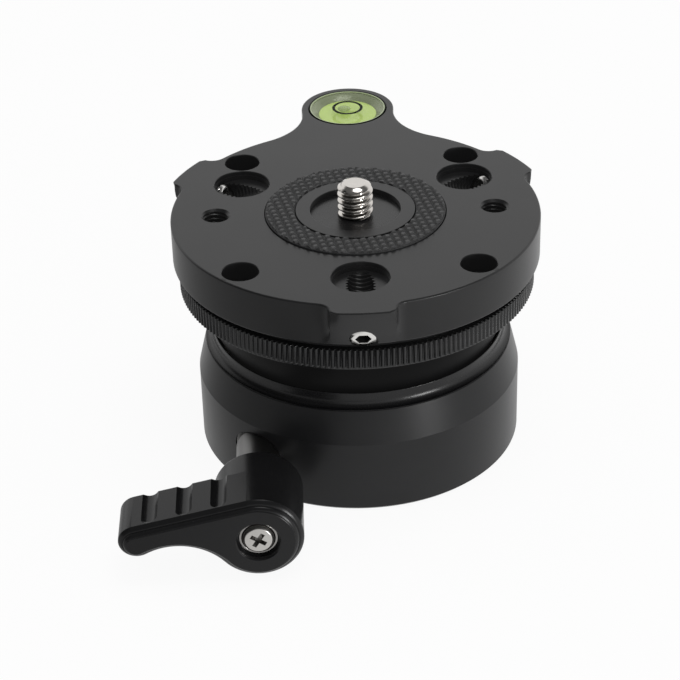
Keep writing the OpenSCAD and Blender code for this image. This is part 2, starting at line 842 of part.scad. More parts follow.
module vial_bubble() {
    color(clear) bubble_solid();
}

// black ring printed on the cover's underside
module target_ring() {
    color(rubber)
    translate([0, lobe_y, liquid_top - target_t])
        ring(target_d / 2, target_d / 2 - target_w, target_t);
}

module vial_lens() {
    color(clear) translate([0, lobe_y, liquid_top]) cylinder(r = vial_in_r, h = lens_t);
}

// lever shaft: eccentric, journal, groove for the retainer, splined end
module cam_shaft() {
    color(steel)
    on_shaft()
    difference() {
        union() {
            translate([0, 0, cam_front]) cylinder(r = shaft_r, h = shaft_step - cam_front);
            rotate([0, 0, 90 - shoe_turn]) translate([cam_off, 0, shaft_end + fit])
                cylinder(r = cam_r, h = cam_l + past);
            translate([0, 0, shaft_end - journal_l])
                cylinder(d = journal_d, h = journal_l + cam_l + past);
            translate([0, 0, shaft_step - past]) cylinder(d = spline_d, h = spline_l + past);
        }
        translate([0, 0, catch_y - catch_w / 2]) ring(shaft_d, catch_r, catch_w);
        translate([0, 0, head_y - lever_screw_l])
            cylinder(d = lever_screw_d, h = lever_screw_l);
    }
}

// plug between the eccentric and the ball
module brake_shoe() {
    color(steel)
    difference() {
        on_shoe() translate([0, 0, shoe_foot]) cylinder(d = shoe_d, h = shoe_far / 2);
        translate([0, 0, ball_z]) sphere(r = seat_r);
    }
}

// side view of the lever, drawn in by an even margin
module lever_outline(margin) {
    hub_r = lever_hub_r - margin;
    end_r = lever_end_r - margin;
    top = [-sin(arm_slope), cos(arm_slope)];
    circle(r = hub_r);
    translate([-lever_arm_l, 0]) circle(r = end_r);
    difference() {
        polygon([[0, 0], hub_r * top, [-lever_arm_l, 0] + end_r * top,
                 [-lever_arm_l, 0], [-cove_x, cove_z]]);
        translate([-cove_x, cove_z]) circle(r = lever_cove_r + margin);
    }
}

// one finger groove along the arm's top, with a round end
module finger_groove(x) {
    line_z = (lever_hub_r - x * sin(arm_slope)) / cos(arm_slope);
    centre_z = line_z + (finger_r - finger_h) / cos(arm_slope);
    translate([-x, centre_z, 0]) {
        cylinder(r = finger_r, h = lever_front - finger_end - finger_r);
        translate([0, 0, lever_front - finger_end - finger_r]) sphere(r = finger_r);
    }
}

// hub and arm of the lever
module lever_handle() {
    arm_rear = lever_front - lever_arm_w;
    step = lever_edge / 2;
    color(satin)
    on_shaft()
    difference() {
        union() {
            translate([0, 0, hub_rear]) cylinder(r = lever_hub_r, h = arm_rear - hub_rear + past);
            translate([0, 0, arm_rear])
                linear_extrude(height = lever_arm_w - lever_edge) lever_outline(0);
            translate([0, 0, arm_rear])
                linear_extrude(height = lever_arm_w - step) lever_outline(step);
            translate([0, 0, arm_rear])
                linear_extrude(height = lever_arm_w) lever_outline(lever_edge);
        }
        for (i = [0:groove_count - 1]) finger_groove(finger_first + i * finger_step);
        translate([0, 0, hub_rear - past]) cylinder(r = shaft_r + fit, h = socket_l + past);
        translate([0, 0, hub_rear]) cylinder(r = sleeve_r, h = sleeve_front - hub_rear);
        translate([0, 0, sleeve_front]) cylinder(r = sleeve_r + pit_gap, h = sleeve_sunk + past);
    }
}

// bright sleeve in the hub: spline bore, shoulder, spring room
module lever_insert() {
    color(steel)
    on_shaft()
    difference() {
        translate([0, 0, shaft_step]) cylinder(r = sleeve_r, h = sleeve_front - shaft_step);
        translate([0, 0, shaft_step - past])
            cylinder(r = spline_d / 2 + fit, h = shoulder_y - shaft_step + past);
        cylinder(r = lever_screw_d / 2 + 2 * fit, h = lever_front);
        translate([0, 0, spring_y]) cylinder(r = spring_room_r, h = lever_front - spring_y);
    }
}

// cross-head screw that holds the handle on the shaft
module lever_screw() {
    color(steel)
    on_shaft()
    difference() {
        union() {
            translate([0, 0, head_y - lever_screw_l])
                cylinder(d = lever_screw_d, h = lever_screw_l);
            translate([0, 0, head_y]) cylinder(r = head_r, h = lever_head_h);
        }
        for (a = [0, 90]) rotate([0, 0, a])
            translate([-cross_l / 2, -cross_w / 2, head_y + lever_head_h - cross_h])
                cube([cross_l, cross_w, cross_h + past]);
    }
}

// the coil's wire: six sides, eight rings a curl, straight ends one wire long
wire_r = wire_d / 2;
wire_sides = 6;
rings_a_curl = 8;
coil_rings = round(spring_curls * rings_a_curl);
coil_y = spring_y + wire_r + fit;
coil_l = head_y - spring_y - wire_d - 2 * fit;

// centre of the wire, with i counted in rings from the coil's start
function coil_turn(i) = 360 * i / rings_a_curl;
function coil_point(i) =
    [spring_r * cos(coil_turn(i)), spring_r * sin(coil_turn(i)),
     coil_y + coil_l * i / coil_rings];
function coil_way(i) = [-sin(coil_turn(i)), cos(coil_turn(i)), 0];

// the route with a straight end before and after the coil
coil_route = concat(
    [coil_point(0) - wire_d * coil_way(0)],
    [for (i = [0:coil_rings]) coil_point(i)],
    [coil_point(coil_rings) + wire_d * coil_way(coil_rings)]);
coil_turns = concat([0], [for (i = [0:coil_rings]) coil_turn(i)], [coil_turn(coil_rings)]);

// corner k of the wire's section at stop j of the route
function wire_corner(j, k) =
    let (a = coil_turns[j], out = [cos(a), sin(a), 0], b = 360 * k / wire_sides)
    coil_route[j] + wire_r * (cos(b) * out + sin(b) * [0, 0, 1]);

// least space between neighbouring curls
coil_gap = min([for (i = [0:coil_rings], j = [0:coil_rings])
    if (j - i > rings_a_curl / 2) norm(coil_point(i) - coil_point(j)) - wire_d]);
echo(lever_spring_least_gap = coil_gap);

// coil spring in the handle's sleeve
module lever_spring() {
    stops = len(coil_route);
    color(steel)
    on_shaft()
    polyhedron(
        points = [for (j = [0:stops - 1], k = [0:wire_sides - 1]) wire_corner(j, k)],
        faces = concat(
            [[for (k = [0:wire_sides - 1]) k]],
            [for (j = [0:stops - 2], k = [0:wire_sides - 1])
                let (n = (k + 1) % wire_sides, a = j * wire_sides, b = a + wire_sides)
                [a + n, a + k, b + k, b + n]],
            [[for (k = [wire_sides - 1:-1:0]) (stops - 1) * wire_sides + k]]));
}

base_housing();
rim_ring();
seat_ring();
thread_insert();
center_bolt();
disc_springs();
shaft_retainer();
hold_cap();
ball_liner();
half_ball();
knurled_ring();
platform();
platform_screws();
center_disc();
stud();
friction_ring();
set_screw_front();
set_screw_right();
set_screw_left();
vial_cup();
vial_liquid();
vial_bubble();
target_ring();
vial_lens();
cam_shaft();
brake_shoe();
lever_handle();
lever_insert();
lever_screw();
lever_spring();
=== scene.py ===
from math import asin, atan2, cos, degrees, hypot, pi, radians, sin, sqrt, tan

import bmesh
import bpy
from mathutils import Matrix, Vector


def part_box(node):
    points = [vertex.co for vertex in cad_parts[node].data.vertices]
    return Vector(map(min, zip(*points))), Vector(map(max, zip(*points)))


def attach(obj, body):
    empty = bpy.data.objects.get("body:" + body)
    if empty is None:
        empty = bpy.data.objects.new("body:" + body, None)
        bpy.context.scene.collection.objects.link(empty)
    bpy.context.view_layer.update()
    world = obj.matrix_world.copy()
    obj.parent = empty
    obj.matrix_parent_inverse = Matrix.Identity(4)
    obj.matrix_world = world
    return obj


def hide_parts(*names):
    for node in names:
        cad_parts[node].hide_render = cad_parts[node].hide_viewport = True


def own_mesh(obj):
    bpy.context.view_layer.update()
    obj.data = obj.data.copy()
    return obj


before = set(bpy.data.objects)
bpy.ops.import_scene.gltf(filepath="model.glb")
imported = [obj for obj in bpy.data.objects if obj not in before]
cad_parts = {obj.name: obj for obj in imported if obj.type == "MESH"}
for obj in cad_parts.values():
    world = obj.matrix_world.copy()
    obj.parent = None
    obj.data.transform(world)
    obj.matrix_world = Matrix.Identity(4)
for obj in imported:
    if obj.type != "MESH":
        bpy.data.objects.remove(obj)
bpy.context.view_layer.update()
mm = 0.001


# The drum: a thick aluminium cup turned on a lathe, with a tapered shoulder and a hollow
# round bowl inside, satin black anodised. The central post carries the ball's bolt. The
# lever's shaft enters through a bore in its side.
class Wire:
    """An output socket in a node tree. Arithmetic on it adds math nodes."""

    def __init__(self, tree, socket):
        self.tree = tree
        self.socket = socket

    def math(self, kind, *others):
        return add(self.tree, "ShaderNodeMath", dict(enumerate((self, *others))),
                   {"operation": kind})

    def __add__(self, other):
        return self.math("ADD", other)

    def __sub__(self, other):
        return self.math("SUBTRACT", other)

    def __mul__(self, other):
        return self.math("MULTIPLY", other)

    def __truediv__(self, other):
        return self.math("DIVIDE", other)

    __radd__, __rmul__ = __add__, __mul__

    def __rsub__(self, other):
        return self * -1 + other

    def clamp(self):
        return self.math("MAXIMUM", 0).math("MINIMUM", 1)

    def __getitem__(self, name):
        """Another output of the same node."""
        return Wire(self.tree, self.socket.node.outputs[name])


def add(tree, kind, inputs=None, settings=None, out=0):
    """Adds one node, sets it up, then fills its inputs with values or wires."""
    node = tree.nodes.new(kind)
    for name, value in (settings or {}).items():
        setattr(node, name, value)
    for name, value in (inputs or {}).items():
        if isinstance(value, Wire):
            tree.links.new(value.socket, node.inputs[name])
        else:
            node.inputs[name].default_value = value
    return Wire(tree, node.outputs[out]) if node.outputs else None


def tones(tree, share, colour, first, second=1.0):
    """A colour that wanders between two tones of itself."""
    ends = [[c * tone for c in colour] + [1.0] for tone in (first, second)]
    return add(tree, "ShaderNodeMix", {0: share, 6: ends[0], 7: ends[1]},
               {"data_type": "RGBA"}, out=2)


def noise(tree, place, per_mm, detail=3.0):
    inputs = {"Vector": place, "Scale": per_mm, "Detail": detail, "Roughness": 0.55}
    return add(tree, "ShaderNodeTexNoise", inputs)


def bump(tree, height, depth, under=None):
    """A surface normal from a height; depth is in metres."""
    inputs = {"Strength": 1.0, "Distance": depth, "Height": height}
    if under is not None:
        inputs["Normal"] = under
    return add(tree, "ShaderNodeBump", inputs)


def finish(material, base, roughness, others):
    """Adds the surface shader with its colour, its roughness and other inputs."""
    tree = material.node_tree
    shader = add(tree, "ShaderNodeBsdfPrincipled",
                 {"Base Color": base, "Roughness": roughness, **others})
    add(tree, "ShaderNodeOutputMaterial", {"Surface": shader})
    return material


def new_material(name):
    """An empty material, its node tree, and object coordinates counted in millimetres."""
    material = bpy.data.materials.new(name)
    material.use_nodes = True
    tree = material.node_tree
    tree.nodes.clear()
    place = add(tree, "ShaderNodeTexCoord", out="Object")
    return material, tree, add(tree, "ShaderNodeVectorMath", {0: place, "Scale": 1 / mm},
                               {"operation": "SCALE"})


def anodised(name, colour, rough, shine, turned=0.0, painted_glow=0.0):
    """Satin anodised aluminium: blasted grain, faint cloudiness, lathe lines if turned, and an
    even painted glow if given, which stands in for light.
    """
    material, tree, place = new_material(name)
    cloud = noise(tree, place, 0.11)
    grain = noise(tree, place, 5.5, 2.0)
    base = tones(tree, cloud, colour, 0.8, 1.25)
    roughness = cloud * 0.08 + grain * 0.06 + (rough - 0.07)
    normal = bump(tree, grain, 0.006 * mm)
    if turned:
        axes = add(tree, "ShaderNodeSeparateXYZ", {0: place})
        across = (axes * axes + axes["Y"] * axes["Y"]).math("SQRT")
        lines = ((across + axes["Z"]) * turned).math("SINE")
        normal = bump(tree, lines, 0.0006 * mm, normal)
    return finish(material, base, roughness, {
        "Specular IOR Level": shine, "Emission Strength": painted_glow, "Normal": normal})


def rounded(points, radius, steps=3):
    """The outline with each corner turned into a short arc of that radius."""
    made = []
    count = len(points)
    for i, corner in enumerate(points):
        here = Vector(corner[:2])
        size = corner[2] if len(corner) > 2 else radius
        back = Vector(points[i - 1][:2]) - here
        ahead = Vector(points[(i + 1) % count][:2]) - here
        turn = back.angle(ahead)
        if not size or abs(turn - pi) < 0.02:
            made.append(tuple(here))
            continue
        reach = min(size / tan(turn / 2), 0.45 * back.length, 0.45 * ahead.length)
        first = here + back.normalized() * reach
        last = here + ahead.normalized() * reach
        for k in range(steps + 1):
            t = k / steps
            bend = (1 - t) ** 2 * first + 2 * t * (1 - t) * here + t * t * last
            made.append(tuple(bend))
    return made


def evaluated(obj):
    """The object's mesh with its modifiers worked out."""
    bpy.context.view_layer.update()
    graph = bpy.context.evaluated_depsgraph_get()
    mesh = bpy.data.meshes.new_from_object(obj.evaluated_get(graph))
    bpy.data.objects.remove(obj)
    return mesh


def placed(data, name="blank"):
    """A new object in the scene that holds this mesh, lamp or camera."""
    obj = bpy.data.objects.new(name, data)
    bpy.context.scene.collection.objects.link(obj)
    return obj


def shaded(mesh, smooth):
    """Smooth shading with crisp corners; big flat faces stay flat up to their edges."""
    mesh.polygons.foreach_set("use_smooth", [True] * len(mesh.polygons))
    mesh.set_sharp_from_angle(angle=radians(smooth))
    edge_at = {edge.key: edge for edge in mesh.edges}
    for face in mesh.polygons:
        if len(face.vertices) > 24:
            for key in face.edge_keys:
                edge_at[key].use_edge_sharp = True
    blank = placed(mesh)
    even = blank.modifiers.new("even", "WEIGHTED_NORMAL")
    even.keep_sharp = True
    return evaluated(blank)


def piece(name, mesh, body, material=None, replaces=(), smooth=40):
    """Puts a finished mesh into the scene as one piece riding on a CAD body."""
    mesh = shaded(mesh, smooth)
    mesh.name = name
    obj = placed(mesh, name)
    if material is not None:
        mesh.materials.clear()
        mesh.materials.append(material)
        mesh.polygons.foreach_set("material_index", [0] * len(mesh.polygons))
    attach(obj, body)
    if replaces:
        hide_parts(*replaces)
    return obj


def closed(bm):
    """The finished mesh, with all its faces turned outward."""
    bmesh.ops.recalc_face_normals(bm, faces=bm.faces)
    mesh = bpy.data.meshes.new("closed")
    bm.to_mesh(mesh)
    bm.free()
    return mesh


def lathe(outline, steps=192, axis=None):
    """A mesh turned from (radius, height) points, closed back to the first point."""
    bm = bmesh.new()
    rings = []
    for r, z in outline:
        if r < 1e-7:
            rings.append([bm.verts.new((0, 0, z))] * steps)
            continue
        turns = [2 * pi * k / steps for k in range(steps)]
        rings.append([bm.verts.new((r * cos(a), r * sin(a), z)) for a in turns])
    for low, high in zip(rings, rings[1:] + rings[:1]):
        for k in range(steps):
            n = (k + 1) % steps
            corners = [low[k], low[n], high[n], high[k]]
            corners = [v for i, v in enumerate(corners) if v not in corners[:i]]
            if len(corners) > 2:
                bm.faces.new(corners)
    mesh = closed(bm)
    if axis is not None:
        mesh.transform(axis)
    return mesh


def cut(mesh, tools):
    """The mesh with every tool's shape taken out of it."""
    blank = placed(mesh)
    cutters = [placed(t) for t in tools]
    for cutter in cutters:
        step = blank.modifiers.new("cut", "BOOLEAN")
        step.operation = "DIFFERENCE"
        step.solver = "EXACT"
        step.material_mode = "TRANSFER"
        step.object = cutter
    made = evaluated(blank)
    for cutter in cutters:
        bpy.data.objects.remove(cutter)
    return made


def plug(radius, low, high, steps, at=None, inner=0):
    """A tool for a plain round hole, or for a groove outside an inner radius."""
    return lathe([(inner, low), (radius, low), (radius, high), (inner, high)], steps, at)


past = 1 * mm
soft_edge = 0.15 * mm
drum_r, _, drum_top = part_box("base_housing")[1]
wall_top = drum_top - 6.2 * mm
shoulder_r = drum_r - 1.5 * mm
shoulder_edge = 0.5 * mm
foot_edge = 0.6 * mm
ball_z = 34.0 * mm
ball_r = 28.3 * mm
bowl_r = ball_r + 0.6 * mm
post_r = 7.0 * mm
post_top = 16.05 * mm
bolt_r = 2 * mm
bush_r = 5.6 * mm
bush_h = 9.6 * mm
shaft_x = -18.8 * mm
shaft_z = 8.2982 * mm
shaft_r = 3.97 * mm
shaft_fit = 0.13 * mm
shaft_bore_start, shaft_bore_end = 12.9 * mm, 40 * mm
retainer_y = -19.5335 * mm
retainer_r, retainer_mouth_r = 1.25 * mm, 1.7 * mm
retainer_mouth, retainer_depth = 0.35 * mm, 5 * mm


def sphere_line(radius, start, end, steps):
    """Points of a sphere's side about the ball's centre, from one height to another."""
    heights = [start + (end - start) * k / steps for k in range(steps + 1)]
    return [(sqrt(radius ** 2 - (z - ball_z) ** 2), z) for z in heights]


# Turns +Z into the lever's axis, which runs out of the drum along -Y.
along_lever = Matrix.Translation((shaft_x, 0, shaft_z)) @ Matrix.Rotation(radians(90), 4, "X")
drum_black = anodised("drum_black", (0.0085, 0.0086, 0.0092), 0.34, 0.25, turned=9.0)

bowl_low = ball_z - sqrt(bowl_r ** 2 - post_r ** 2)
(_, _, seat_low), (seat_r, _, _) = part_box("seat_ring")
bowl_line = sphere_line(bowl_r, seat_low, bowl_low, 24)
drum_line = (rounded([(bush_r, 0), (drum_r - foot_edge, 0), (drum_r, foot_edge),
                      (drum_r, wall_top, shoulder_edge), (shoulder_r, drum_top),
                      (seat_r, drum_top, 0)], soft_edge)
             + [(seat_r, seat_low)] + bowl_line
             + [(post_r, post_top), (bolt_r, post_top), (bolt_r, bush_h), (bush_r, bush_h)])
shaft_bore = plug(shaft_r + shaft_fit, shaft_bore_start, shaft_bore_end, 64, along_lever)
retainer_bore = lathe([(0, -past), (retainer_mouth_r, -past), (retainer_r, retainer_mouth),
                       (retainer_r, retainer_depth), (0, retainer_depth)], 32,
                      Matrix.Translation((shaft_x, retainer_y, 0)))
piece("base_drum", cut(lathe(drum_line, 256), [shaft_bore, retainer_bore]), "base",
      drum_black, ["base_housing"])


# The rim: a ring turned from aluminium that sits on the drum and keeps the ball in. Its thin
# collar runs out in a hollow curve to the shoulder, and its narrow top edge catches the light.
rim_r, _, rim_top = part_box("rim_ring")[1]
gap_r = ball_r + 0.35 * mm
rim_foot = 0.1 * mm
cove_rise = 1.3
rim_bore_top = sqrt(gap_r ** 2 - (rim_top - ball_z) ** 2)
rim_bore_low = sqrt(gap_r ** 2 - (drum_top - ball_z) ** 2)
collar_r = rim_bore_top + 0.25 * mm
cove_r = rim_r - collar_r
cove_line = [(rim_r - cove_r * sin(a),
              drum_top + rim_foot + cove_rise * cove_r * (1 - cos(a)))
             for a in (radians(90 * k / 12) for k in range(13))]
rim_line = ([(rim_bore_low, drum_top), (rim_r, drum_top)] + cove_line
            + [(collar_r, rim_top - 0.12 * mm), (collar_r - 0.04 * mm, rim_top - 0.03 * mm),
               (collar_r - 0.1 * mm, rim_top),
               (rim_bore_top + 0.05 * mm, rim_top), (rim_bore_top, rim_top - 0.05 * mm)])
rim_black = anodised("rim_black", (0.006, 0.006, 0.0064), 0.27, 0.3, turned=12.0)
piece("rim_lip", lathe(rim_line, 256), "base", rim_black, ["rim_ring"])


# The half ball: a hollow aluminium ball with a broad neck. Only a dark band of it shows
# between the rim and the grip ring. Its hollow lets it tilt over the post.
(_, _, ring_low), (ring_r, _, ring_top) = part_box("knurled_ring")
neck_r = 25.0 * mm
hollow_r = 19.2 * mm
open_r = 14.2 * mm
ball_low = ball_z - sqrt(ball_r ** 2 - open_r ** 2)
neck_top = ring_top - 0.05 * mm
ball_line = (sphere_line(ball_r, ball_low, ring_low, 40)
             + [(neck_r, ring_low), (neck_r, neck_top), (hollow_r, neck_top),
                (hollow_r, ball_z)]
             + sphere_line(hollow_r, ball_z - 0.3 * mm, ball_z - 12.9 * mm, 16)[1:])
# The ball's near-black, almost unshiny colour is painted shade under the grip ring. Its faint
# glow is painted light that holds that shade at an even dark grey.
ball_black = anodised("ball_black", (0.001, 0.001, 0.0011), 0.36, 0.03, 14.0, 0.004)
piece("half_ball_shell", lathe(ball_line, 192), "ball", ball_black,
      ["half_ball"])


# The grip ring: a flat aluminium ring under the platform with some two hundred upright
# serrations pressed round its edge, for turning the platform by hand.
def tree_with(name, inputs):
    """A geometry node tree with named inputs, and the identifiers of those inputs."""
    tree = bpy.data.node_groups.new(name, "GeometryNodeTree")
    tree.interface.new_socket("Geometry", in_out="INPUT", socket_type="NodeSocketGeometry")
    tree.interface.new_socket("Geometry", in_out="OUTPUT", socket_type="NodeSocketGeometry")
    kinds = {float: "NodeSocketFloat", int: "NodeSocketInt",
             bpy.types.Material: "NodeSocketMaterial"}
    names = {}
    for title, value in inputs.items():
        socket = tree.interface.new_socket(title, in_out="INPUT",
                                           socket_type=kinds[type(value)])
        names[title] = socket.identifier
    return tree, names, add(tree, "NodeGroupInput")


def close_tree(tree, geometry, given):
    """Ends a geometry node tree: real copies, the given material, the output."""
    real = add(tree, "GeometryNodeRealizeInstances", {"Geometry": geometry})
    painted = add(tree, "GeometryNodeSetMaterial",
                  {"Geometry": real, "Material": given["Material"]})
    add(tree, "NodeGroupOutput", {"Geometry": painted})


def grown(tree, names, inputs, start=None):
    """The plain mesh that a geometry node tree makes from those inputs."""
    holder = placed(start or bpy.data.meshes.new("seed"))
    step = holder.modifiers.new(tree.name, "NODES")
    step.node_group = tree
    for title, value in inputs.items():
        step[names[title]] = value
    return evaluated(holder)


def polar(tree):
    """Radius, turn as a share of a whole turn, and the position's three axes."""
    place = add(tree, "GeometryNodeInputPosition")
    axes = add(tree, "ShaderNodeSeparateXYZ", {0: place})
    radius = (axes * axes + axes["Y"] * axes["Y"]).math("SQRT")
    turn = axes["Y"].math("ARCTAN2", axes) / (2 * pi)
    return radius, turn, axes


def moved(tree, geometry, axes, stretch, height):
    """Scales X and Y by a factor and sets the height."""
    place = add(tree, "ShaderNodeCombineXYZ",
                {"X": axes * stretch, "Y": axes["Y"] * stretch, "Z": height})
    return add(tree, "GeometryNodeSetPosition", {"Geometry": geometry, "Position": place})


grip_black = anodised("grip_black", (0.0085, 0.0086, 0.009), 0.26, 0.4)
teeth = {"Teeth": 212, "Tooth depth": 0.42 * mm, "Root radius": ring_r - 0.1 * mm,
         "Material": grip_black}
tree, names, given = tree_with("serrations", teeth)
radius, turn, axes = polar(tree)
across = ((turn * given["Teeth"]).math("FRACT") - 0.5).math("ABSOLUTE")
land_share, flank_share = 0.16, 0.24
groove = ((across - land_share) / flank_share).clamp()
on_edge = radius.math("GREATER_THAN", given["Root radius"])
stretch = 1 - groove * on_edge * given["Tooth depth"] / radius
close_tree(tree, moved(tree, given["Geometry"], axes, stretch, axes["Z"]), given)
band_r = ring_r - 0.36 * mm
ring_line = [(neck_r, ring_low), (band_r - 0.06 * mm, ring_low),
             (band_r, ring_low + 0.06 * mm), (band_r, ring_low + 0.32 * mm),
             (ring_r, ring_low + 0.36 * mm), (ring_r, ring_top - 0.08 * mm),
             (ring_r - 0.08 * mm, ring_top), (neck_r, ring_top)]
serrated = grown(tree, names, teeth, lathe(ring_line, 6 * teeth["Teeth"]))
piece("grip_ring", serrated, "ball", None, ["knurled_ring"], 50)


# The platform: a round plate milled from aluminium with three tabs, a long lobe for the
# level, three round pockets where the set screws' threads break through, four
# counterbores, two small threaded holes and a low boss round the stud.
def arc(centre, radius, start, end, steps):
    """Points on a circle between two angles in degrees."""
    angles = [radians(start + (end - start) * k / steps) for k in range(steps + 1)]
    return [(centre[0] + radius * cos(a), centre[1] + radius * sin(a))
            for a in angles]


def loft(levels):
    """A closed mesh through (outline, height) pairs with equal numbers of points."""
    bm = bmesh.new()
    rings = [[bm.verts.new((x, y, z)) for x, y in outline] for outline, z in levels]
    count = len(rings[0])
    for low, high in zip(rings, rings[1:]):
        for k in range(count):
            n = (k + 1) % count
            bm.faces.new((low[k], low[n], high[n], high[k]))
    bm.faces.new(reversed(rings[0]))
    bm.faces.new(rings[-1])
    return closed(bm)


plate_low = 36.75 * mm
plate_top = 44.5 * mm
plate_r = 33.0 * mm
tab_reach = 35.8 * mm
tab_lean = tan(radians(21))
tab_half = 5.55 * mm
tab_fillet = 2.5 * mm
lobe_y = 42.3 * mm
lobe_r = 8.95 * mm
lobe_fillet = 12.4 * mm
boss_top = 44.95 * mm
disc_top = 43.95 * mm
disc_r = 8.1 * mm
boss_r = 10.68 * mm


def spun(points, turn):
    c, s = cos(radians(turn)), sin(radians(turn))
    return [(x * c - y * s, x * s + y * c) for x, y in points]


def tab_edge(inset, drop):
    """One tab that points along +X, anticlockwise, with hollow corners at its root. Its
    outer face is part of a cone, so its reach falls with the drop below the top."""
    half, hollow = tab_half - inset, tab_fillet + inset
    off = tab_half + tab_fillet
    out = sqrt((plate_r + tab_fillet) ** 2 - off ** 2)
    lean = degrees(atan2(off, out))
    face_r = max(tab_reach - inset - drop * tab_lean, plate_r - inset)
    side = degrees(asin(half / max(face_r, hypot(out, half))))
    root = []
    for x, y in arc((out, -off), hollow, 180 - lean, 90, 8):
        share = min(1, face_r / hypot(x, y))
        root.append((x * share, y * share))
    face = arc((0, 0), face_r, -side, side, 12)
    return root + face[1:-1] + [(x, -y) for x, y in reversed(root)], lean


def lobe_edge(inset):
    """The lobe, pointing along +X, with its long hollow curves to the plate."""
    side_far = ((plate_r + lobe_fillet) ** 2 - (lobe_r + lobe_fillet) ** 2
                + lobe_y ** 2) / (2 * lobe_y)
    side_off = sqrt((plate_r + lobe_fillet) ** 2 - side_far ** 2)
    lean = degrees(atan2(side_off, side_far))
    rise = degrees(atan2(side_off, lobe_y - side_far))
    points = arc((side_far, -side_off), lobe_fillet + inset, 180 - lean, rise, 20)
    points += arc((lobe_y, 0), lobe_r - inset, rise - 180, 180 - rise, 56)
    points += arc((side_far, side_off), lobe_fillet + inset, -rise, lean - 180, 20)
    return points, lean


def plate_edge(inset, z):
    """The plate's whole outline at one height, drawn in by an inset."""
    tab, root = tab_edge(inset, plate_top - z)
    lobe, lobe_lean = lobe_edge(inset)
    features = [(30, tab, root), (90, lobe, lobe_lean), (150, tab, root),
                (270, tab, root), (390, tab, root)]
    points = []
    for (here, shape, lean), (after, _, next_lean) in zip(features, features[1:]):
        points += spun(shape, here)
        steps = max(4, round((after - here) / 2.5))
        points += arc((0, 0), plate_r - inset, here + lean, after - next_lean, steps)[1:-1]
    return points


def soft_levels(outline, low, high, radius, steps=3, between=6):
    """Outlines and heights of a slab whose two edges are rounded."""
    quarter = [radians(90 * k / steps) for k in range(steps + 1)]
    wall = high - low - 2 * radius
    levels = [(radius * (1 - sin(a)), low + radius * (1 - cos(a))) for a in quarter]
    levels += [(0, low + radius + wall * k / (between + 1)) for k in range(1, between + 1)]
    levels += [(radius * (1 - cos(a)), high - radius * (1 - sin(a))) for a in quarter]
    return [(outline(inset, z), z) for inset, z in levels]


def raised(height):
    """A shift straight up."""
    return Matrix.Translation((0, 0, height))


def thread_tree():
    """A threaded rod: a cylinder whose radius follows a right-hand screw line."""
    title = {"Outer radius": 1.0, "Thread depth": 1.0, "Pitch": 1.0, "Length": 1.0,
             "End bevel": 1.0, "Start turn": 1.0, "Plain start": 1.0, "Rows": 8, "Sides": 48,
             "Material": grip_black}
    tree, names, given = tree_with("screw_thread", title)
    rod = add(tree, "GeometryNodeMeshCylinder",
              {"Vertices": given["Sides"], "Side Segments": given["Rows"], "Radius": 1.0,
               "Depth": given["Length"]}, {"fill_type": "NGON"})
    radius, turn, axes = polar(tree)
    height = axes["Z"]
    climb = (height / given["Pitch"] - turn + given["Start turn"]).math("FRACT")
    from_crest = (climb - 0.5).math("ABSOLUTE")
    past_plain = height + given["Length"] / 2 - given["Plain start"]
    crest_share, flank_share, run_out = 0.09, 0.3, 0.3 * mm
    groove = (((from_crest - crest_share) / flank_share).clamp()
              * (past_plain / run_out + 1).clamp())
    thread_r = given["Outer radius"] - groove * given["Thread depth"]
    from_end = given["Length"] / 2 - height.math("ABSOLUTE")
    end_r = given["Outer radius"] - given["End bevel"] + from_end
    shape = moved(tree, rod, axes, thread_r.math("MINIMUM", end_r), height)
    close_tree(tree, shape, given)
    return tree, names


screw_tree, screw_names = thread_tree()


def threaded(radius, depth, pitch, length, bevel, material, start=0.0, sides=48,
             rows_a_turn=8, plain=0.0):
    """A threaded rod standing on the origin, without a thread along its plain start."""
    rows = round(length / pitch * rows_a_turn)
    inputs = {"Outer radius": radius, "Thread depth": depth, "Pitch": pitch, "Length": length,
              "End bevel": bevel, "Start turn": start, "Plain start": plain, "Rows": rows,
              "Sides": sides, "Material": material}
    mesh = grown(screw_tree, screw_names, inputs)
    mesh.transform(raised(length / 2))
    return mesh


def turned_about_z(turn):
    return Matrix.Rotation(radians(turn), 4, "Z")


def bore(radius, low, bevel, at=None, ledge=0.0):
    """A tool for a round hole in the plate's top, with a bevelled mouth and sometimes a
    narrow ledge half way down."""
    half_way = (plate_top + low) / 2
    line = [(0, low), (radius - ledge, low)]
    line += [(radius - ledge, half_way), (radius, half_way)] if ledge else []
    line += [(radius, plate_top - bevel), (radius + bevel, plate_top),
             (radius + bevel, plate_top + 2 * mm), (0, plate_top + 2 * mm)]
    return lathe(line, 96, at)


tab_turns = (0, 120, 240)
pocket_r = 5.05 * mm
pocket_at = 23.5 * mm
pocket_depth = 1.6 * mm
pocket_ledge = 0.17 * mm
mouth_bevel = 0.12 * mm
screw_turns = (45, 135, 225, 315)
screw_at = 28.8 * mm
screw_hole_r = 3.2 * mm
screw_depth = 5.8 * mm
side_hole_at = 24.9 * mm
side_hole_depth = 6.6 * mm
side_hole_turn = 0.4
groove_r = 16.2 * mm
groove_low = plate_top - 1.05 * mm
level_r = 7.6 * mm
level_depth = 6 * mm
disc_t = 2 * mm
side_thread_r, side_thread_l = 2.52 * mm, 8 * mm
sink_r, sink_low, sink_low_r = 2.62 * mm, 6.0 * mm, 2.0 * mm
set_hole_r, set_hole_l, set_hole_lead = 2.6 * mm, 17.8 * mm, 3 * mm
set_slope = radians(28.5)
set_mouth_z = plate_low + 1 * mm
set_mouth = Vector((0, -tab_reach + (plate_top - set_mouth_z) * tab_lean, set_mouth_z))
coarse_pitch = 0.8 * mm
hole_thread = 0.42 * mm
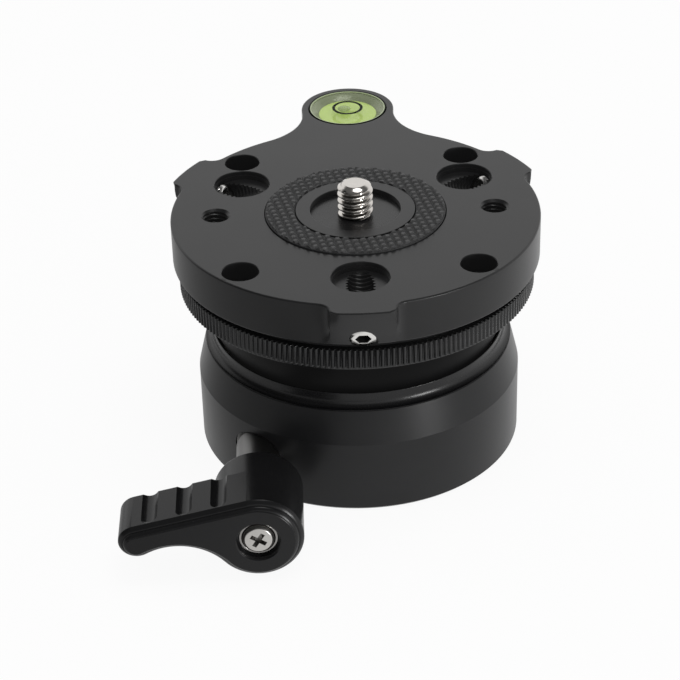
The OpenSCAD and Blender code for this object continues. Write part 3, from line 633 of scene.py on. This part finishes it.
# The plate's faint glow is painted light: an even emission over plate, boss and neck that lifts
# the black in its pockets and counterbores.
plate_grey = anodised("plate_grey", (0.0080, 0.0080, 0.0083), 0.31, 0.38, painted_glow=0.003)
# A second tone for the plate's outward side walls, lighter but less glossy: light and shade
# painted on the sides of one anodised part.
side_painted_grey = anodised("side_painted_grey", (0.0098, 0.0098, 0.0101), 0.33, 0.27)
along_set = Matrix.Translation(set_mouth) @ Matrix.Rotation(set_slope - pi / 2, 4, "X")
tools = []
for a in tab_turns:
    spin = turned_about_z(a)
    tools.append(bore(pocket_r, plate_top - pocket_depth, mouth_bevel,
                      spin @ Matrix.Translation((0, -pocket_at, 0)), pocket_ledge))
    thread = threaded(set_hole_r, hole_thread, coarse_pitch, set_hole_l, 0.4 * mm, plate_grey,
                      sides=40)
    thread.transform(spin @ along_set @ raised(-set_hole_lead))
    tools.append(thread)
for a in screw_turns:
    tools.append(bore(screw_hole_r, plate_top - screw_depth, mouth_bevel,
                      turned_about_z(a) @ Matrix.Translation((screw_at, 0, 0))))
for side in (-1, 1):
    at = Matrix.Translation((side * side_hole_at, 0, plate_top - side_hole_depth))
    thread = threaded(side_thread_r, hole_thread, coarse_pitch, side_thread_l, 0.2 * mm,
                      plate_grey, 0.4)
    thread.transform(at @ Matrix.Rotation(side * side_hole_turn, 4, "Z"))
    tools.append(thread)
    tools.append(lathe([(0, sink_low), (sink_low_r, sink_low), (sink_r, side_hole_depth),
                        (sink_r, side_thread_l), (0, side_thread_l)], 48, at))
tools.append(bore(level_r, plate_top - level_depth, 0.1 * mm,
                  Matrix.Translation((0, lobe_y, 0))))
tools.append(lathe([(boss_r, groove_low), (groove_r, groove_low),
                    (groove_r, plate_top - 0.1 * mm), (groove_r + 0.1 * mm, plate_top),
                    (groove_r + 0.1 * mm, plate_top + past), (boss_r, plate_top + past)], 160))
tools.append(plug(disc_r, disc_top - disc_t, plate_top + past, 128))
plate_mesh = cut(loft(soft_levels(plate_edge, plate_low, plate_top, 0.3 * mm)), tools)
plate_mesh.materials.clear()
for material in (plate_grey, side_painted_grey):
    plate_mesh.materials.append(material)
# Faces on the outer side walls take the painted side tone.
for face in plate_mesh.polygons:
    outward = face.normal.x * face.center.x + face.normal.y * face.center.y
    painted_side = abs(face.normal.z) < 0.6 and outward > 0.25 * face.center.length
    face.material_index = int(painted_side and face.center.xy.length > plate_r - 1 * mm)
piece("platform_plate", plate_mesh, "ball", None, ["platform"], 30)

boss_low = plate_top - 1 * mm
boss_line = rounded([(disc_r, boss_low, 0), (boss_r, boss_low, 0), (boss_r, boss_top),
                     (disc_r, boss_top)], 0.1 * mm)
piece("platform_boss", lathe(boss_line, 160), "ball", plate_grey)
core_r, spigot_r, step_r = 3 * mm, 12 * mm, 30.7 * mm
spigot_low = ring_top - 2.4 * mm
under_line = rounded([(core_r, spigot_low), (spigot_r, spigot_low), (spigot_r, ring_top),
                      (step_r, ring_top), (step_r, plate_low), (core_r, plate_low)], soft_edge)
piece("platform_neck", lathe(under_line, 192), "ball", plate_grey)


# The disc round the stud: a thin washer turned from aluminium and anodised dark, let into
# the boss, one millimetre down.
def washer(inner, outer, low, high, corner):
    """The outline of a flat ring with rounded corners."""
    return rounded([(inner, low), (outer, low), (outer, high), (inner, high)], corner)


disc_grey = anodised("disc_grey", (0.0090, 0.0090, 0.0093), 0.27, 0.42, turned=10.0)
disc_line = washer(2.7 * mm, disc_r - 0.03 * mm, disc_top - disc_t, disc_top, 0.08 * mm)
piece("stud_disc", lathe(disc_line, 128), "ball", disc_grey,
      ["center_disc"])


# The stud: a 1/4 inch 20 threads to the inch screw of polished stainless steel, its tip
# bevelled and faced flat.
def polished(name, colour, rough):
    """Bright steel: faint fine scratches and slightly uneven polish."""
    material, tree, place = new_material(name)
    patch = noise(tree, place, 0.9)
    fine = noise(tree, place, 14.0, 1.0)
    base = tones(tree, patch, colour, 0.9)
    roughness = patch * 0.06 + fine * 0.05 + (rough - 0.05)
    return finish(material, base, roughness,
                  {"Metallic": 1.0, "Normal": bump(tree, fine, 0.0012 * mm)})


(_, _, stud_low), (stud_r, _, stud_top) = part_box("stud")
inch_pitch = 1.27 * mm
stud_steel = polished("stud_steel", (0.66, 0.63, 0.595), 0.15)
stud_mesh = threaded(stud_r, 0.72 * mm, inch_pitch, stud_top - stud_low, 0, stud_steel,
                     0.35, sides=96, rows_a_turn=16)
stud_mesh.transform(raised(stud_low))
tip_r = 1.95 * mm
tip_low = stud_top - 1.0 * mm
clear_r = 4 * mm
tip_tool = lathe([(tip_r, stud_top + past), (tip_r, stud_top),
                  (2.72 * mm, stud_top - 0.3 * mm), (3.3 * mm, tip_low), (clear_r, tip_low),
                  (clear_r, stud_top + past)], 96)
stud_mesh = cut(stud_mesh, [tip_tool])
piece("stud_screw", stud_mesh, "ball", stud_steel, ["stud"], 75)


# The rubber ring: a soft black ring glued into a groove, moulded with crossed rows of small
# pyramids so that a camera or head doesn't turn on it. Its round edges cut through them.
(_, _, rubber_low), (rubber_r, _, rubber_top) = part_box("friction_ring")
rubber_in = rubber_r - 5.3 * mm
tread_h = 0.38 * mm


def rubber(name, colour, rough):
    """Dull moulded rubber with a dusty, slightly mottled face."""
    material, tree, place = new_material(name)
    mottle = noise(tree, place, 0.8)
    grain = noise(tree, place, 7.0)
    base = tones(tree, mottle * grain, colour, 1.0, 2.2)
    return finish(material, base, grain * 0.15 + rough,
                  {"Specular IOR Level": 0.45, "Normal": bump(tree, grain, 0.02 * mm)})


# The pyramids take a rubber three times lighter and a little glossier than the ring between
# them: painted light on the pyramids, painted shade in the gaps.
rubber_shade_black = rubber("rubber_shade_black", (0.012, 0.012, 0.0125), 0.5)
tread_lit_black = rubber("tread_lit_black", (0.036, 0.036, 0.0365), 0.4)
tread_foot = rubber_top - tread_h
rubber_line = washer(rubber_in, rubber_r, rubber_low, tread_foot, soft_edge)
piece("rubber_ring", lathe(rubber_line, 160), "ball", rubber_shade_black,
      ["friction_ring"])
tread = {"Spacing": 1.43 * mm, "Inner radius": rubber_in - 0.9 * mm,
         "Outer radius": rubber_r + 0.9 * mm, "Height": tread_h, "Turn": radians(12),
         "Rows": 25, "Material": tread_lit_black}
tree, names, given = tree_with("pyramid_tread", tread)
width = given["Spacing"] * (given["Rows"] - 1)
grid = add(tree, "GeometryNodeMeshGrid", {"Size X": width, "Size Y": width,
                                          "Vertices X": given["Rows"],
                                          "Vertices Y": given["Rows"]})
radius, turn, axes = polar(tree)
outside = radius.math("GREATER_THAN", given["Outer radius"])
inside = radius.math("LESS_THAN", given["Inner radius"])
kept = add(tree, "GeometryNodeDeleteGeometry",
           {"Geometry": grid, "Selection": outside + inside}, {"domain": "POINT"})
stub = add(tree, "GeometryNodeMeshCone",
           {"Vertices": 4, "Side Segments": 1, "Radius Top": given["Spacing"] * 0.28,
            "Radius Bottom": given["Spacing"] * 0.57, "Depth": given["Height"]},
           {"fill_type": "NGON"})
square_on = add(tree, "GeometryNodeTransform",
                {"Geometry": stub, "Rotation": (0, 0, pi / 4)})
copies = add(tree, "GeometryNodeInstanceOnPoints", {"Points": kept, "Instance": square_on})
angle = add(tree, "ShaderNodeCombineXYZ", {"Z": given["Turn"]})
turned_rows = add(tree, "GeometryNodeTransform", {"Geometry": copies, "Rotation": angle})
close_tree(tree, turned_rows, given)
tread_mesh = grown(tree, names, tread)
edge_in, edge_out = rubber_in + 0.2 * mm, rubber_r - 0.2 * mm
trimmers = [plug(edge_in, -past, 2 * mm, 128),
            plug(edge_out + 4 * mm, -past, 2 * mm, 160, inner=edge_out)]
for trimmer in trimmers:
    trimmer.materials.append(tread_lit_black)
tread_mesh = cut(tread_mesh, trimmers)
tread_mesh.transform(raised(tread_foot))
piece("rubber_diamonds", tread_mesh, "ball", None, (), 20)


# The four cap screws: black oxide steel with hexagon sockets, deep in counterbores. They
# run through the plate and hold the grip ring under it.
def oxide(name, colour, rough):
    """Black oxide steel: dark, oily, a little blotchy."""
    material, tree, place = new_material(name)
    blotch = noise(tree, place, 1.3)
    base = tones(tree, blotch, colour, 0.6)
    normal = bump(tree, noise(tree, place, 9.0), 0.004 * mm)
    return finish(material, base, blotch * 0.12 + rough, {"Metallic": 0.6, "Normal": normal})


# Near-black oxide for the insides of hexagon sockets: painted shade.
socket_painted_shade = oxide("socket_painted_shade", (0.02, 0.02, 0.02), 0.45)


def hexagon(radius, low, high, at=None):
    """A tool for a six-sided socket, its inside painted near black as shade."""
    ring = arc((0, 0), radius, 0, 300, 5)
    mesh = loft([(ring, low), (ring, high)])
    mesh.materials.append(socket_painted_shade)
    if at is not None:
        mesh.transform(at)
    return mesh


screw_black = oxide("screw_black", (0.035, 0.035, 0.037), 0.3)
cap_top = plate_top - 3.2 * mm
cap_low = cap_top - 2.6 * mm
cap_r, shank_r = 2.8 * mm, 1.5 * mm
shank_low = ring_top - 3 * mm
cap_line = rounded([(0, shank_low, 0), (shank_r, shank_low), (shank_r, cap_low, 0),
                    (cap_r, cap_low), (cap_r, cap_top), (0, cap_top, 0)], 0.25 * mm)
one_screw = cut(lathe(cap_line, 48),
                [hexagon(1.5 * mm, cap_top - 1.3 * mm, cap_top + past)])
around = {"Copies": len(screw_turns), "Distance": screw_at,
          "First turn": radians(screw_turns[0]), "Material": screw_black}
tree, names, given = tree_with("screw_circle", around)
circle = add(tree, "GeometryNodeMeshCircle",
             {"Vertices": given["Copies"], "Radius": given["Distance"]})
angle = add(tree, "ShaderNodeCombineXYZ", {"Z": given["First turn"]})
turned_circle = add(tree, "GeometryNodeTransform", {"Geometry": circle, "Rotation": angle})
copies = add(tree, "GeometryNodeInstanceOnPoints",
             {"Points": turned_circle, "Instance": given["Geometry"]})
close_tree(tree, copies, given)
piece("cap_screws", grown(tree, names, around, one_screw), "ball",
      None, ["platform_screws"])


# The three set screws: bright steel grub screws in inclined threaded bores, with a
# hexagon socket outside and a bevelled tip that shows in each pocket.
set_steel = polished("set_steel", (0.70, 0.69, 0.67), 0.16)
# The grub screws' threads take a dark copy of the steel as painted shade; only their ends stay
# bright.
thread_shade_steel = polished("thread_shade_steel", (0.22, 0.22, 0.22), 0.3)
set_r = 2.48 * mm
set_l = 7.3 * mm
set_sunk = 0.2 * mm
faced = 0.05 * mm
bevel_r = 2.6 * mm
point_low = set_l - 0.7 * mm
face_line = [(0, -past), (clear_r, -past), (clear_r, 0.4 * mm), (bevel_r, 0.4 * mm),
             (2.25 * mm, faced), (0, faced)]
point_line = [(0, set_l + past), (clear_r, set_l + past), (clear_r, point_low),
              (bevel_r, point_low), (1.9 * mm, set_l - faced), (1.15 * mm, set_l - faced),
              (0, point_low)]
for a, side in zip(tab_turns, ("front", "right", "left")):
    grub = threaded(set_r, 0.4 * mm, coarse_pitch, set_l, 0, thread_shade_steel, sides=48,
                    plain=0.55 * mm)
    ends = [lathe(face_line, 48), lathe(point_line, 48)]
    for end in ends:
        end.materials.append(set_steel)
    grub = cut(grub, ends + [hexagon(1.42 * mm, -past, 2.4 * mm)])
    grub.transform(turned_about_z(a) @ along_set @ raised(set_sunk))
    piece("set_screw_" + side + "_grub", grub, "set_" + side, None,
          ["set_screw_" + side], 50)


# The bubble level: a plastic cup pressed into the lobe. Its thin dark top rim is painted shade
# that joins the gap round it, and a pale band inside it is a painted highlight for the clear
# cover's lit edge. In it are yellow-green liquid over a pale floor, shown by the liquid's
# painted glow, a black printed ring and a small flat bubble that glows faintly with painted
# light, under a clear cover.
def clear_tint(name, colour, rough, painted_glow, shine=0.5, mottling=0.06):
    """Tinted plastic or liquid: a glossy face with faintly mottled colour, and a faint painted
    glow, if given, that stands in for the light shining through it.
    """
    material, tree, place = new_material(name)
    shade = noise(tree, place, 0.35) * mottling + (1 - mottling / 2)
    base = tones(tree, shade.clamp(), colour, 0.55)
    return finish(material, base, noise(tree, place, 1.2) * 0.08 + rough, {
        "Emission Strength": painted_glow, "Specular IOR Level": shine, "Emission Color": base})


level_at = Matrix.Translation((0, lobe_y + 0.15 * mm, 0))


def level_piece(name, outline, steps, material, nodes=(), at=level_at):
    return piece("level_" + name, lathe(outline, steps, at), "ball",
                 material, nodes)


def pin(radius, low, high, corner):
    """The outline of a plain round pin or disc with rounded corners."""
    return rounded([(0, low, 0), (radius, low), (radius, high), (0, high, 0)], corner)


cup_r = 7.42 * mm
wall_r = 7.3 * mm
floor_r = 5.6 * mm
cup_low = plate_top - level_depth
floor_z = plate_top - 1.3 * mm
pan_z = floor_z - 0.4 * mm
line_z = plate_top - 0.15 * mm
fine = 0.01 * mm
# The cup's thin top rim is near black: painted shade that joins the dark gap round the vial.
cup_line = rounded([(0, cup_low, 0), (cup_r, cup_low), (cup_r, plate_top), (wall_r, plate_top),
                    (wall_r, floor_z - 0.45 * mm, 0), (0, floor_z - 0.45 * mm, 0)], 0.03 * mm)
level_piece("cup", cup_line, 128,
            clear_tint("cup_gap_shade", (0.008, 0.014, 0.005), 0.4, 0.0, 0.1), ["vial_cup"])
wall_line = [(floor_r, pan_z), (wall_r - fine, pan_z), (wall_r - fine, plate_top - 0.22 * mm),
             (wall_r - 0.25 * mm, line_z - 0.12 * mm),
             (floor_r + 0.35 * mm, plate_top - 0.95 * mm), (floor_r, floor_z)]
level_piece("wall", wall_line, 128,
            clear_tint("wall_grey", (0.235, 0.26, 0.185), 0.15, 0.0))
# The pale band at the cover's edge is a painted highlight for the clear cover's lit edge, with
# a little painted glow.
band_in, band_low = wall_r - 0.26 * mm, plate_top - 0.2 * mm
cover_top = plate_top - 0.02 * mm
band_line = rounded([(band_in, band_low), (wall_r - fine, band_low), (wall_r - fine, cover_top),
                     (band_in, plate_top - 0.06 * mm)], 0.04 * mm)
level_piece("band", band_line, 128,
            clear_tint("band_highlight", (0.36, 0.42, 0.25), 0.12, 0.02))
# The liquid's yellow-green is its own colour; its glow is painted light for the bright floor
# showing through it.
liquid_line = pin(floor_r - fine, pan_z, floor_z + 0.05 * mm, 0.05 * mm)
level_piece("liquid", liquid_line, 96,
            clear_tint("liquid_green", (0.50, 0.64, 0.20), 0.1, 0.12), ["vial_liquid"])
line_in, line_out, line_low = 2.42 * mm, 2.98 * mm, line_z - 0.05 * mm
line_ring = [(line_in, line_low), (line_out, line_low), (line_out, line_z), (line_in, line_z)]
line_at = Matrix.Translation((0, lobe_y + 0.35 * mm, 0))
target = level_piece("ring", line_ring, 96,
                     clear_tint("print_black", (0.004, 0.010, 0.001), 0.5, 0.0, 0.05),
                     ["target_ring"], line_at)
target.visible_shadow = False
bubble_top = line_z - 0.08 * mm
bubble_r, bubble_h = 1.25 * mm, 0.3 * mm
bubble_line = [(0, bubble_top - 0.5 * mm)] + [
    (bubble_r * cos(a), bubble_top - bubble_h * (1 - sin(a)))
    for a in (radians(turn) for turn in range(0, 91, 15))]
bubble_at = Matrix.Translation((-0.65 * mm, lobe_y + 0.6 * mm, 0))
# The bubble's faint glow is painted light.
bubble = level_piece("bubble", bubble_line, 64,
                     clear_tint("bubble_clear", (0.30, 0.38, 0.15), 0.06, 0.05),
                     ["vial_bubble"], bubble_at)
bubble.visible_shadow = False


def clear_cover(name):
    """A clear, very smooth cover: it lets nearly all light through and only mirrors."""
    material, tree, place = new_material(name)
    smear = noise(tree, place, 0.7)
    mirror = add(tree, "ShaderNodeBsdfGlossy", {"Roughness": smear * 0.05 + 0.03})
    through = add(tree, "ShaderNodeBsdfTransparent", {"Color": (0.97, 0.98, 0.94, 1.0)})
    both = add(tree, "ShaderNodeMixShader", {0: smear * 0.01 + 0.008, 1: through, 2: mirror})
    add(tree, "ShaderNodeOutputMaterial", {"Surface": both})
    return material


cover_line = pin(wall_r - 0.28 * mm, line_z + 0.02 * mm, cover_top, 0.05 * mm)
level_piece("cover", cover_line, 96, clear_cover("cover_clear"), ["vial_lens"])


# The lever's shaft: a ground and polished steel pin with an eccentric at its inner end, a
# groove for its retaining screw and a thinner splined end for the handle.
shaft_steel = polished("shaft_steel", (0.17, 0.168, 0.165), 0.36)
shaft_start, shaft_end = 17.7 * mm, 40.2 * mm
groove_start, groove_end = 18.43 * mm, 20.63 * mm
waist_r, spline_r = 3 * mm, 2.95 * mm
spline_start = 36.1 * mm
shaft_line = rounded([(0, shaft_start, 0), (shaft_r, shaft_start), (shaft_r, groove_start),
                      (waist_r, groove_start), (waist_r, groove_end), (shaft_r, groove_end),
                      (shaft_r, spline_start), (spline_r, spline_start),
                      (spline_r, shaft_end), (0, shaft_end, 0)], 0.12 * mm)
shaft_mesh = lathe(shaft_line, 96, along_lever)
piece("lever_shaft", shaft_mesh, "shaft", shaft_steel, ["cam_shaft"])
cam_end = 18 * mm
journal_line = pin(2 * mm, 8.3335 * mm, cam_end, soft_edge)
piece("shaft_journal", lathe(journal_line, 64, along_lever), "shaft",
      shaft_steel)
cam_turn = radians(90) - atan2(-shaft_x, ball_z - shaft_z)
cam_throw = Matrix.Translation((0.5 * mm, 0, 0))
cam_at = along_lever @ Matrix.Rotation(cam_turn, 4, "Z") @ cam_throw
cam_line = pin(3 * mm, 12.99 * mm, cam_end, soft_edge)
piece("shaft_eccentric", lathe(cam_line, 64, cam_at), "shaft",
      shaft_steel)


# The lever: a hub and a tapering arm milled in one piece from aluminium, dark satin anodised.
# Two small steps run round its front face and three round-ended grooves across the arm's top.
lever_front, hub_rear = (-corner.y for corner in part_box("lever_handle"))
hub_r = 7.75 * mm
end_r = 3.1 * mm
arm_l = 20.6 * mm
cove_r = 10.5 * mm
arm_w = 10.5 * mm
slope = asin((hub_r - end_r) / arm_l)
near, far = hub_r + cove_r, end_r + cove_r
cove_x = (near ** 2 - far ** 2 + arm_l ** 2) / (2 * arm_l)
cove_z = -sqrt(near ** 2 - cove_x ** 2)
cove_near = degrees(atan2(cove_z, -cove_x))
cove_far = degrees(atan2(cove_z, arm_l - cove_x))


def lever_edge(inset):
    """The lever's side view: hub, straight top, round end, hollow underside."""
    top = 90 + degrees(slope)
    points = arc((0, 0), hub_r - inset, cove_near, top, 60)
    points += arc((-arm_l, 0), end_r - inset, top, 360 + cove_far, 20)
    back = arc((-cove_x, cove_z), cove_r + inset, cove_far + 180, cove_near + 180, 28)
    return points + back[1:-1]


front_steps = [(0, 1.62), (0.06, 1.50), (0.58, 0.98), (0.66, 0.95), (0.84, 0.95),
               (0.88, 0.90), (0.90, 0.66), (0.96, 0.56), (1.30, 0.24), (1.38, 0.22),
               (1.42, 0.18), (1.44, 0.04), (1.50, 0.0)]
arm_rear = lever_front - arm_w
levels = [(0.35 * mm, arm_rear), (0.1 * mm, arm_rear + 0.1 * mm), (0, arm_rear + 0.35 * mm)]
levels += [(inset * mm, lever_front - depth * mm) for inset, depth in front_steps]
arm_mesh = loft([(lever_edge(inset), z) for inset, z in levels])
finger_r = 1.7 * mm
finger_depth = 0.75 * mm
finger_low = arm_rear - 2 * mm
finger_end = lever_front - 1.4 * mm - finger_r
finger_line = ([(0, finger_low), (finger_r, finger_low)]
               + arc((0, finger_end), finger_r, 0, 90, 6))
tools = []
for reach in (6.7 * mm, 12.6 * mm, 18.5 * mm):
    line = (hub_r - reach * sin(slope)) / cos(slope)
    up = line + (finger_r - finger_depth) / cos(slope)
    tools.append(lathe(finger_line, 48, Matrix.Translation((-reach, up, 0))))
sleeve_front = 47.6 * mm
sleeve_r = 3.375 * mm
pit_r = sleeve_r + 0.275 * mm
pit_low = arm_rear - 3 * mm
pit_bevel = 0.2 * mm
pit_line = [(0, pit_low), (sleeve_r, pit_low), (sleeve_r, sleeve_front), (pit_r, sleeve_front),
            (pit_r, lever_front - pit_bevel), (pit_r + pit_bevel, lever_front),
            (pit_r + pit_bevel, lever_front + past), (0, lever_front + past)]
tools.append(lathe(pit_line, 96))
lever_black = anodised("lever_black", (0.0075, 0.0075, 0.0079), 0.25, 0.26)
arm_cut = cut(arm_mesh, tools)
arm_cut.transform(along_lever)
piece("lever_arm", arm_cut, "lever", lever_black, ["lever_handle"], 30)
hub_bore = shaft_r + 0.06 * mm
hub_front = arm_rear + 1 * mm
hub_line = rounded([(hub_bore, hub_rear), (hub_r, hub_rear, 0.45 * mm), (hub_r, hub_front, 0),
                    (sleeve_r, hub_front, 0), (sleeve_r, spline_start, 0),
                    (hub_bore, spline_start, 0)], 0.2 * mm)
piece("lever_hub", lathe(hub_line, 128, along_lever), "lever",
      lever_black)


# The lever's sleeve and screw: a bright splined steel bush in the hub and the cross-head
# screw that holds the handle against its coil spring.
sleeve_steel = polished("sleeve_steel", (0.34, 0.33, 0.32), 0.2)
socket_r, spring_room_r, screw_room_r = 2.99 * mm, 2.85 * mm, 1.6 * mm
socket_end, spring_floor = 40.5 * mm, 41 * mm
sleeve_line = rounded([(socket_r, spline_start), (sleeve_r - fine, spline_start),
                       (sleeve_r - fine, sleeve_front, soft_edge),
                       (spring_room_r, sleeve_front, soft_edge), (spring_room_r, spring_floor),
                       (screw_room_r, spring_floor), (screw_room_r, socket_end),
                       (socket_r, socket_end)], 0.05 * mm)
piece("lever_sleeve", lathe(sleeve_line, 96, along_lever), "lever",
      sleeve_steel, ["lever_insert"])
head_steel = polished("head_steel", (0.60, 0.585, 0.56), 0.28)
head_low = 45.6 * mm
head_front = 48.25 * mm
cross_w = 0.8 * mm
cross_l = 3.1 * mm
head_r, screw_r, screw_start = 2.7 * mm, 1.5 * mm, 36.6 * mm
lever_screw_line = rounded([(0, screw_start, 0), (screw_r, screw_start),
                            (screw_r, head_low, 0.1 * mm), (head_r, head_low, 0.1 * mm),
                            (head_r, head_front - 0.55 * mm, 0.4 * mm),
                            (2.3 * mm, head_front, 0.3 * mm), (0, head_front, 0)], 0.2 * mm, 4)
tools = []
# The cross recess takes a dark copy of the head's steel: painted shade inside the recess.
slot_shade_steel = polished("slot_shade_steel", (0.24, 0.232, 0.22), 0.4)
four_ways = ((1, 1), (-1, 1), (-1, -1), (1, -1))
blade_levels = ((0.27 * cross_l, head_front - 1.1 * mm), (0.5 * cross_l, head_front + 0.1 * mm))
for a in (58, 148):
    blade = loft([([(s * reach, t * cross_w / 2) for s, t in four_ways], z)
                  for reach, z in blade_levels])
    blade.materials.append(slot_shade_steel)
    blade.transform(turned_about_z(a))
    tools.append(blade)
head_blank = lathe(lever_screw_line, 64)
head_blank.materials.append(head_steel)
cross_screw = cut(head_blank, tools)
cross_screw.transform(along_lever)
piece("lever_cross_screw", cross_screw, "shaft", None,
      ["lever_screw"])


# The lever's spring: a small coil of round steel wire round the screw, inside the sleeve. On
# the real lever it is pressed to half its length between the sleeve's step and the screw's head
# when the lever is pulled out; this script builds it at one length, riding with the lever.
spring_steel = polished("spring_steel", (0.48, 0.48, 0.50), 0.28)
coil = {"Curls": 3.5, "Coil radius": 2.2 * mm, "Wire radius": 0.25 * mm, "Length": 4.0 * mm,
        "Material": spring_steel}
tree, names, given = tree_with("coil_spring", coil)
spiral = add(tree, "GeometryNodeCurveSpiral",
             {"Resolution": 48, "Rotations": given["Curls"],
              "Start Radius": given["Coil radius"], "End Radius": given["Coil radius"],
              "Height": given["Length"], "Reverse": False})
wire = add(tree, "GeometryNodeCurvePrimitiveCircle",
           {"Resolution": 14, "Radius": given["Wire radius"]})
tube = add(tree, "GeometryNodeCurveToMesh",
           {"Curve": spiral, "Profile Curve": wire, "Fill Caps": True})
close_tree(tree, tube, given)
coil_mesh = grown(tree, names, coil)
coil_seat = 41.3 * mm
coil_mesh.transform(along_lever @ raised(coil_seat))
spring = piece("lever_coil", coil_mesh, "lever", None, ["lever_spring"])
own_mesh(spring)


# The support thread: a steel bush tapped 3/8 inch, 16 threads to the inch, pressed into the
# drum's underside. Its mouth is bevelled.
bush_steel = polished("bush_steel", (0.66, 0.66, 0.66), 0.26)
bush_gap = 0.02 * mm
bush_line = washer(3.2 * mm, bush_r - bush_gap, bush_gap, bush_h - bush_gap, 0.2 * mm)
support_tap = threaded(4.76 * mm, 0.8 * mm, 1.5875 * mm, 14.3 * mm, 0, bush_steel, 0.55, 60)
support_tap.transform(raised(-2 * mm))
mouth_r, mouth_depth = 4.9 * mm, 0.9 * mm
mouth = lathe([(0, -past), (mouth_r, -past), (mouth_r, bush_gap), (4.0 * mm, mouth_depth),
               (0, mouth_depth)], 64)
piece("support_bush", cut(lathe(bush_line, 96), [support_tap, mouth]), "base",
      bush_steel, ["thread_insert"], 60)


# The hidden pieces keep the solids' own shape: bolt, disc springs, retaining screw, cap,
# liner, seat ring and brake shoe, each in its own material.
def plastic(name, colour, rough):
    """Plain bearing plastic with a fine machined face."""
    material, tree, place = new_material(name)
    cloud = noise(tree, place, 0.4)
    base = tones(tree, cloud, colour, 0.85)
    normal = bump(tree, noise(tree, place, 6.0), 0.008 * mm)
    return finish(material, base, cloud * 0.1 + rough,
                  {"Specular IOR Level": 0.4, "Normal": normal})


seat_white = plastic("seat_white", (0.72, 0.70, 0.64), 0.45)
turned_steel = polished("turned_steel", (0.60, 0.60, 0.61), 0.3)
hidden = {"seat_ring": seat_white, "ball_liner": seat_white, "center_bolt": screw_black,
          "shaft_retainer": screw_black, "disc_springs": spring_steel,
          "hold_cap": turned_steel, "brake_shoe": turned_steel}
for node, material in hidden.items():
    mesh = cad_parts[node].data
    mesh.materials.clear()
    mesh.materials.append(material)


# The studio: a white floor, a white surround, two soft round lamps and the camera. The lamps
# stay low enough that a colour renders about as it is written.
def new_floor():
    """A white floor: camera, mirrors and glass see it white, and it keeps the shadow. It
    mirrors a little darker to the left, away from the lamps."""
    material, tree, place = new_material("floor_white")
    pale, white_share = 0.88, 0.93
    left_x, left_y, left_start, left_fade, left_dark = 0.95, 0.3, 15, 40, 0.45
    tone = noise(tree, place, 0.02) * 0.01 + pale
    path = add(tree, "ShaderNodeLightPath", out="Is Camera Ray")
    seen = (path + path["Is Glossy Ray"] + path["Is Transmission Ray"]).clamp()
    axes = add(tree, "ShaderNodeSeparateXYZ", {0: place})
    to_left = ((0 - axes * left_x - axes["Y"] * left_y - left_start) / left_fade).clamp()
    bright = 1 - path["Is Glossy Ray"] * to_left * left_dark
    grey = add(tree, "ShaderNodeCombineColor", {0: tone, 1: tone, 2: tone})
    matt = add(tree, "ShaderNodeBsdfDiffuse", {"Color": grey})
    white = add(tree, "ShaderNodeEmission", {"Strength": bright})
    both = add(tree, "ShaderNodeMixShader", {0: seen * white_share, 1: matt, 2: white})
    add(tree, "ShaderNodeOutputMaterial", {"Surface": both})
    square = ((-2, -2), (2, -2), (2, 2), (-2, 2))
    mesh = loft([(square, -0.01), (square, -0.00005)])
    mesh.materials.append(material)
    floor = placed(mesh, "studio_floor")


def new_world():
    """A white surround, weaker as light on dull faces. Bright metal sees it white all round
    and up the back, and the dark studio overhead and in one front corner."""
    world = bpy.data.worlds.new("studio_white")
    bpy.context.scene.world = world
    world.use_nodes = True
    tree = world.node_tree
    tree.nodes.clear()
    path = add(tree, "ShaderNodeLightPath", out="Is Camera Ray")
    seen = path + path["Is Transmission Ray"]
    mirrored = path["Is Glossy Ray"]
    toward = add(tree, "ShaderNodeTexCoord", out="Generated")
    axes = add(tree, "ShaderNodeSeparateXYZ", {0: toward})
    fade, fill = 0.2, 0.55
    roof_low, roof_lift, roof_dark = 0.3, 0.45, 0.88
    corner_x, corner_y, corner_edge, corner_dark = 0.906, 0.423, 0.55, 0.94
    to_back = axes["Y"].math("MAXIMUM", 0)
    overhead = ((axes["Z"] - roof_low - to_back * roof_lift) / fade).clamp()
    corner = ((0 - axes * corner_x - axes["Y"] * corner_y - corner_edge) / fade).clamp()
    in_mirror = (1 - overhead * roof_dark) * (1 - corner * corner_dark)
    plain = (1 - seen - mirrored).clamp() * fill
    light = add(tree, "ShaderNodeBackground",
                {"Color": (1.0, 1.0, 1.0, 1.0),
                 "Strength": seen.clamp() + mirrored * in_mirror + plain})
    add(tree, "ShaderNodeOutputWorld", {"Surface": light})


def new_lamp(name, place, aim, size, power):
    data = bpy.data.lights.new(name, "AREA")
    data.shape = "DISK"
    data.size = size
    data.energy = power
    lamp = placed(data, name)
    lamp.location = place
    lamp.rotation_euler = (Vector(aim) - Vector(place)).to_track_quat("-Z", "Y").to_euler()


new_floor()
new_world()
middle = (0, 0, 0.03)
new_lamp("key_lamp", (0.15, -0.04, 0.93), middle, 0.52, 2.6)
new_lamp("low_lamp", (0.46, -0.47, 0.065), middle, 0.19, 2.0)

pitch, roll, heading = 58.22987, 1.36887, -1.74760
camera_data = bpy.data.cameras.new("camera")
camera_data.sensor_width = 36.0
camera_data.lens = 114.563
camera_data.clip_start = 0.01
camera = placed(camera_data, "camera")
camera.location = Vector((-8.736, -340.298, 228.164)) * mm
camera.rotation_euler = [radians(angle) for angle in (pitch, roll, heading)]
scene = bpy.context.scene
scene.camera = camera
scene.view_settings.view_transform = "Standard"
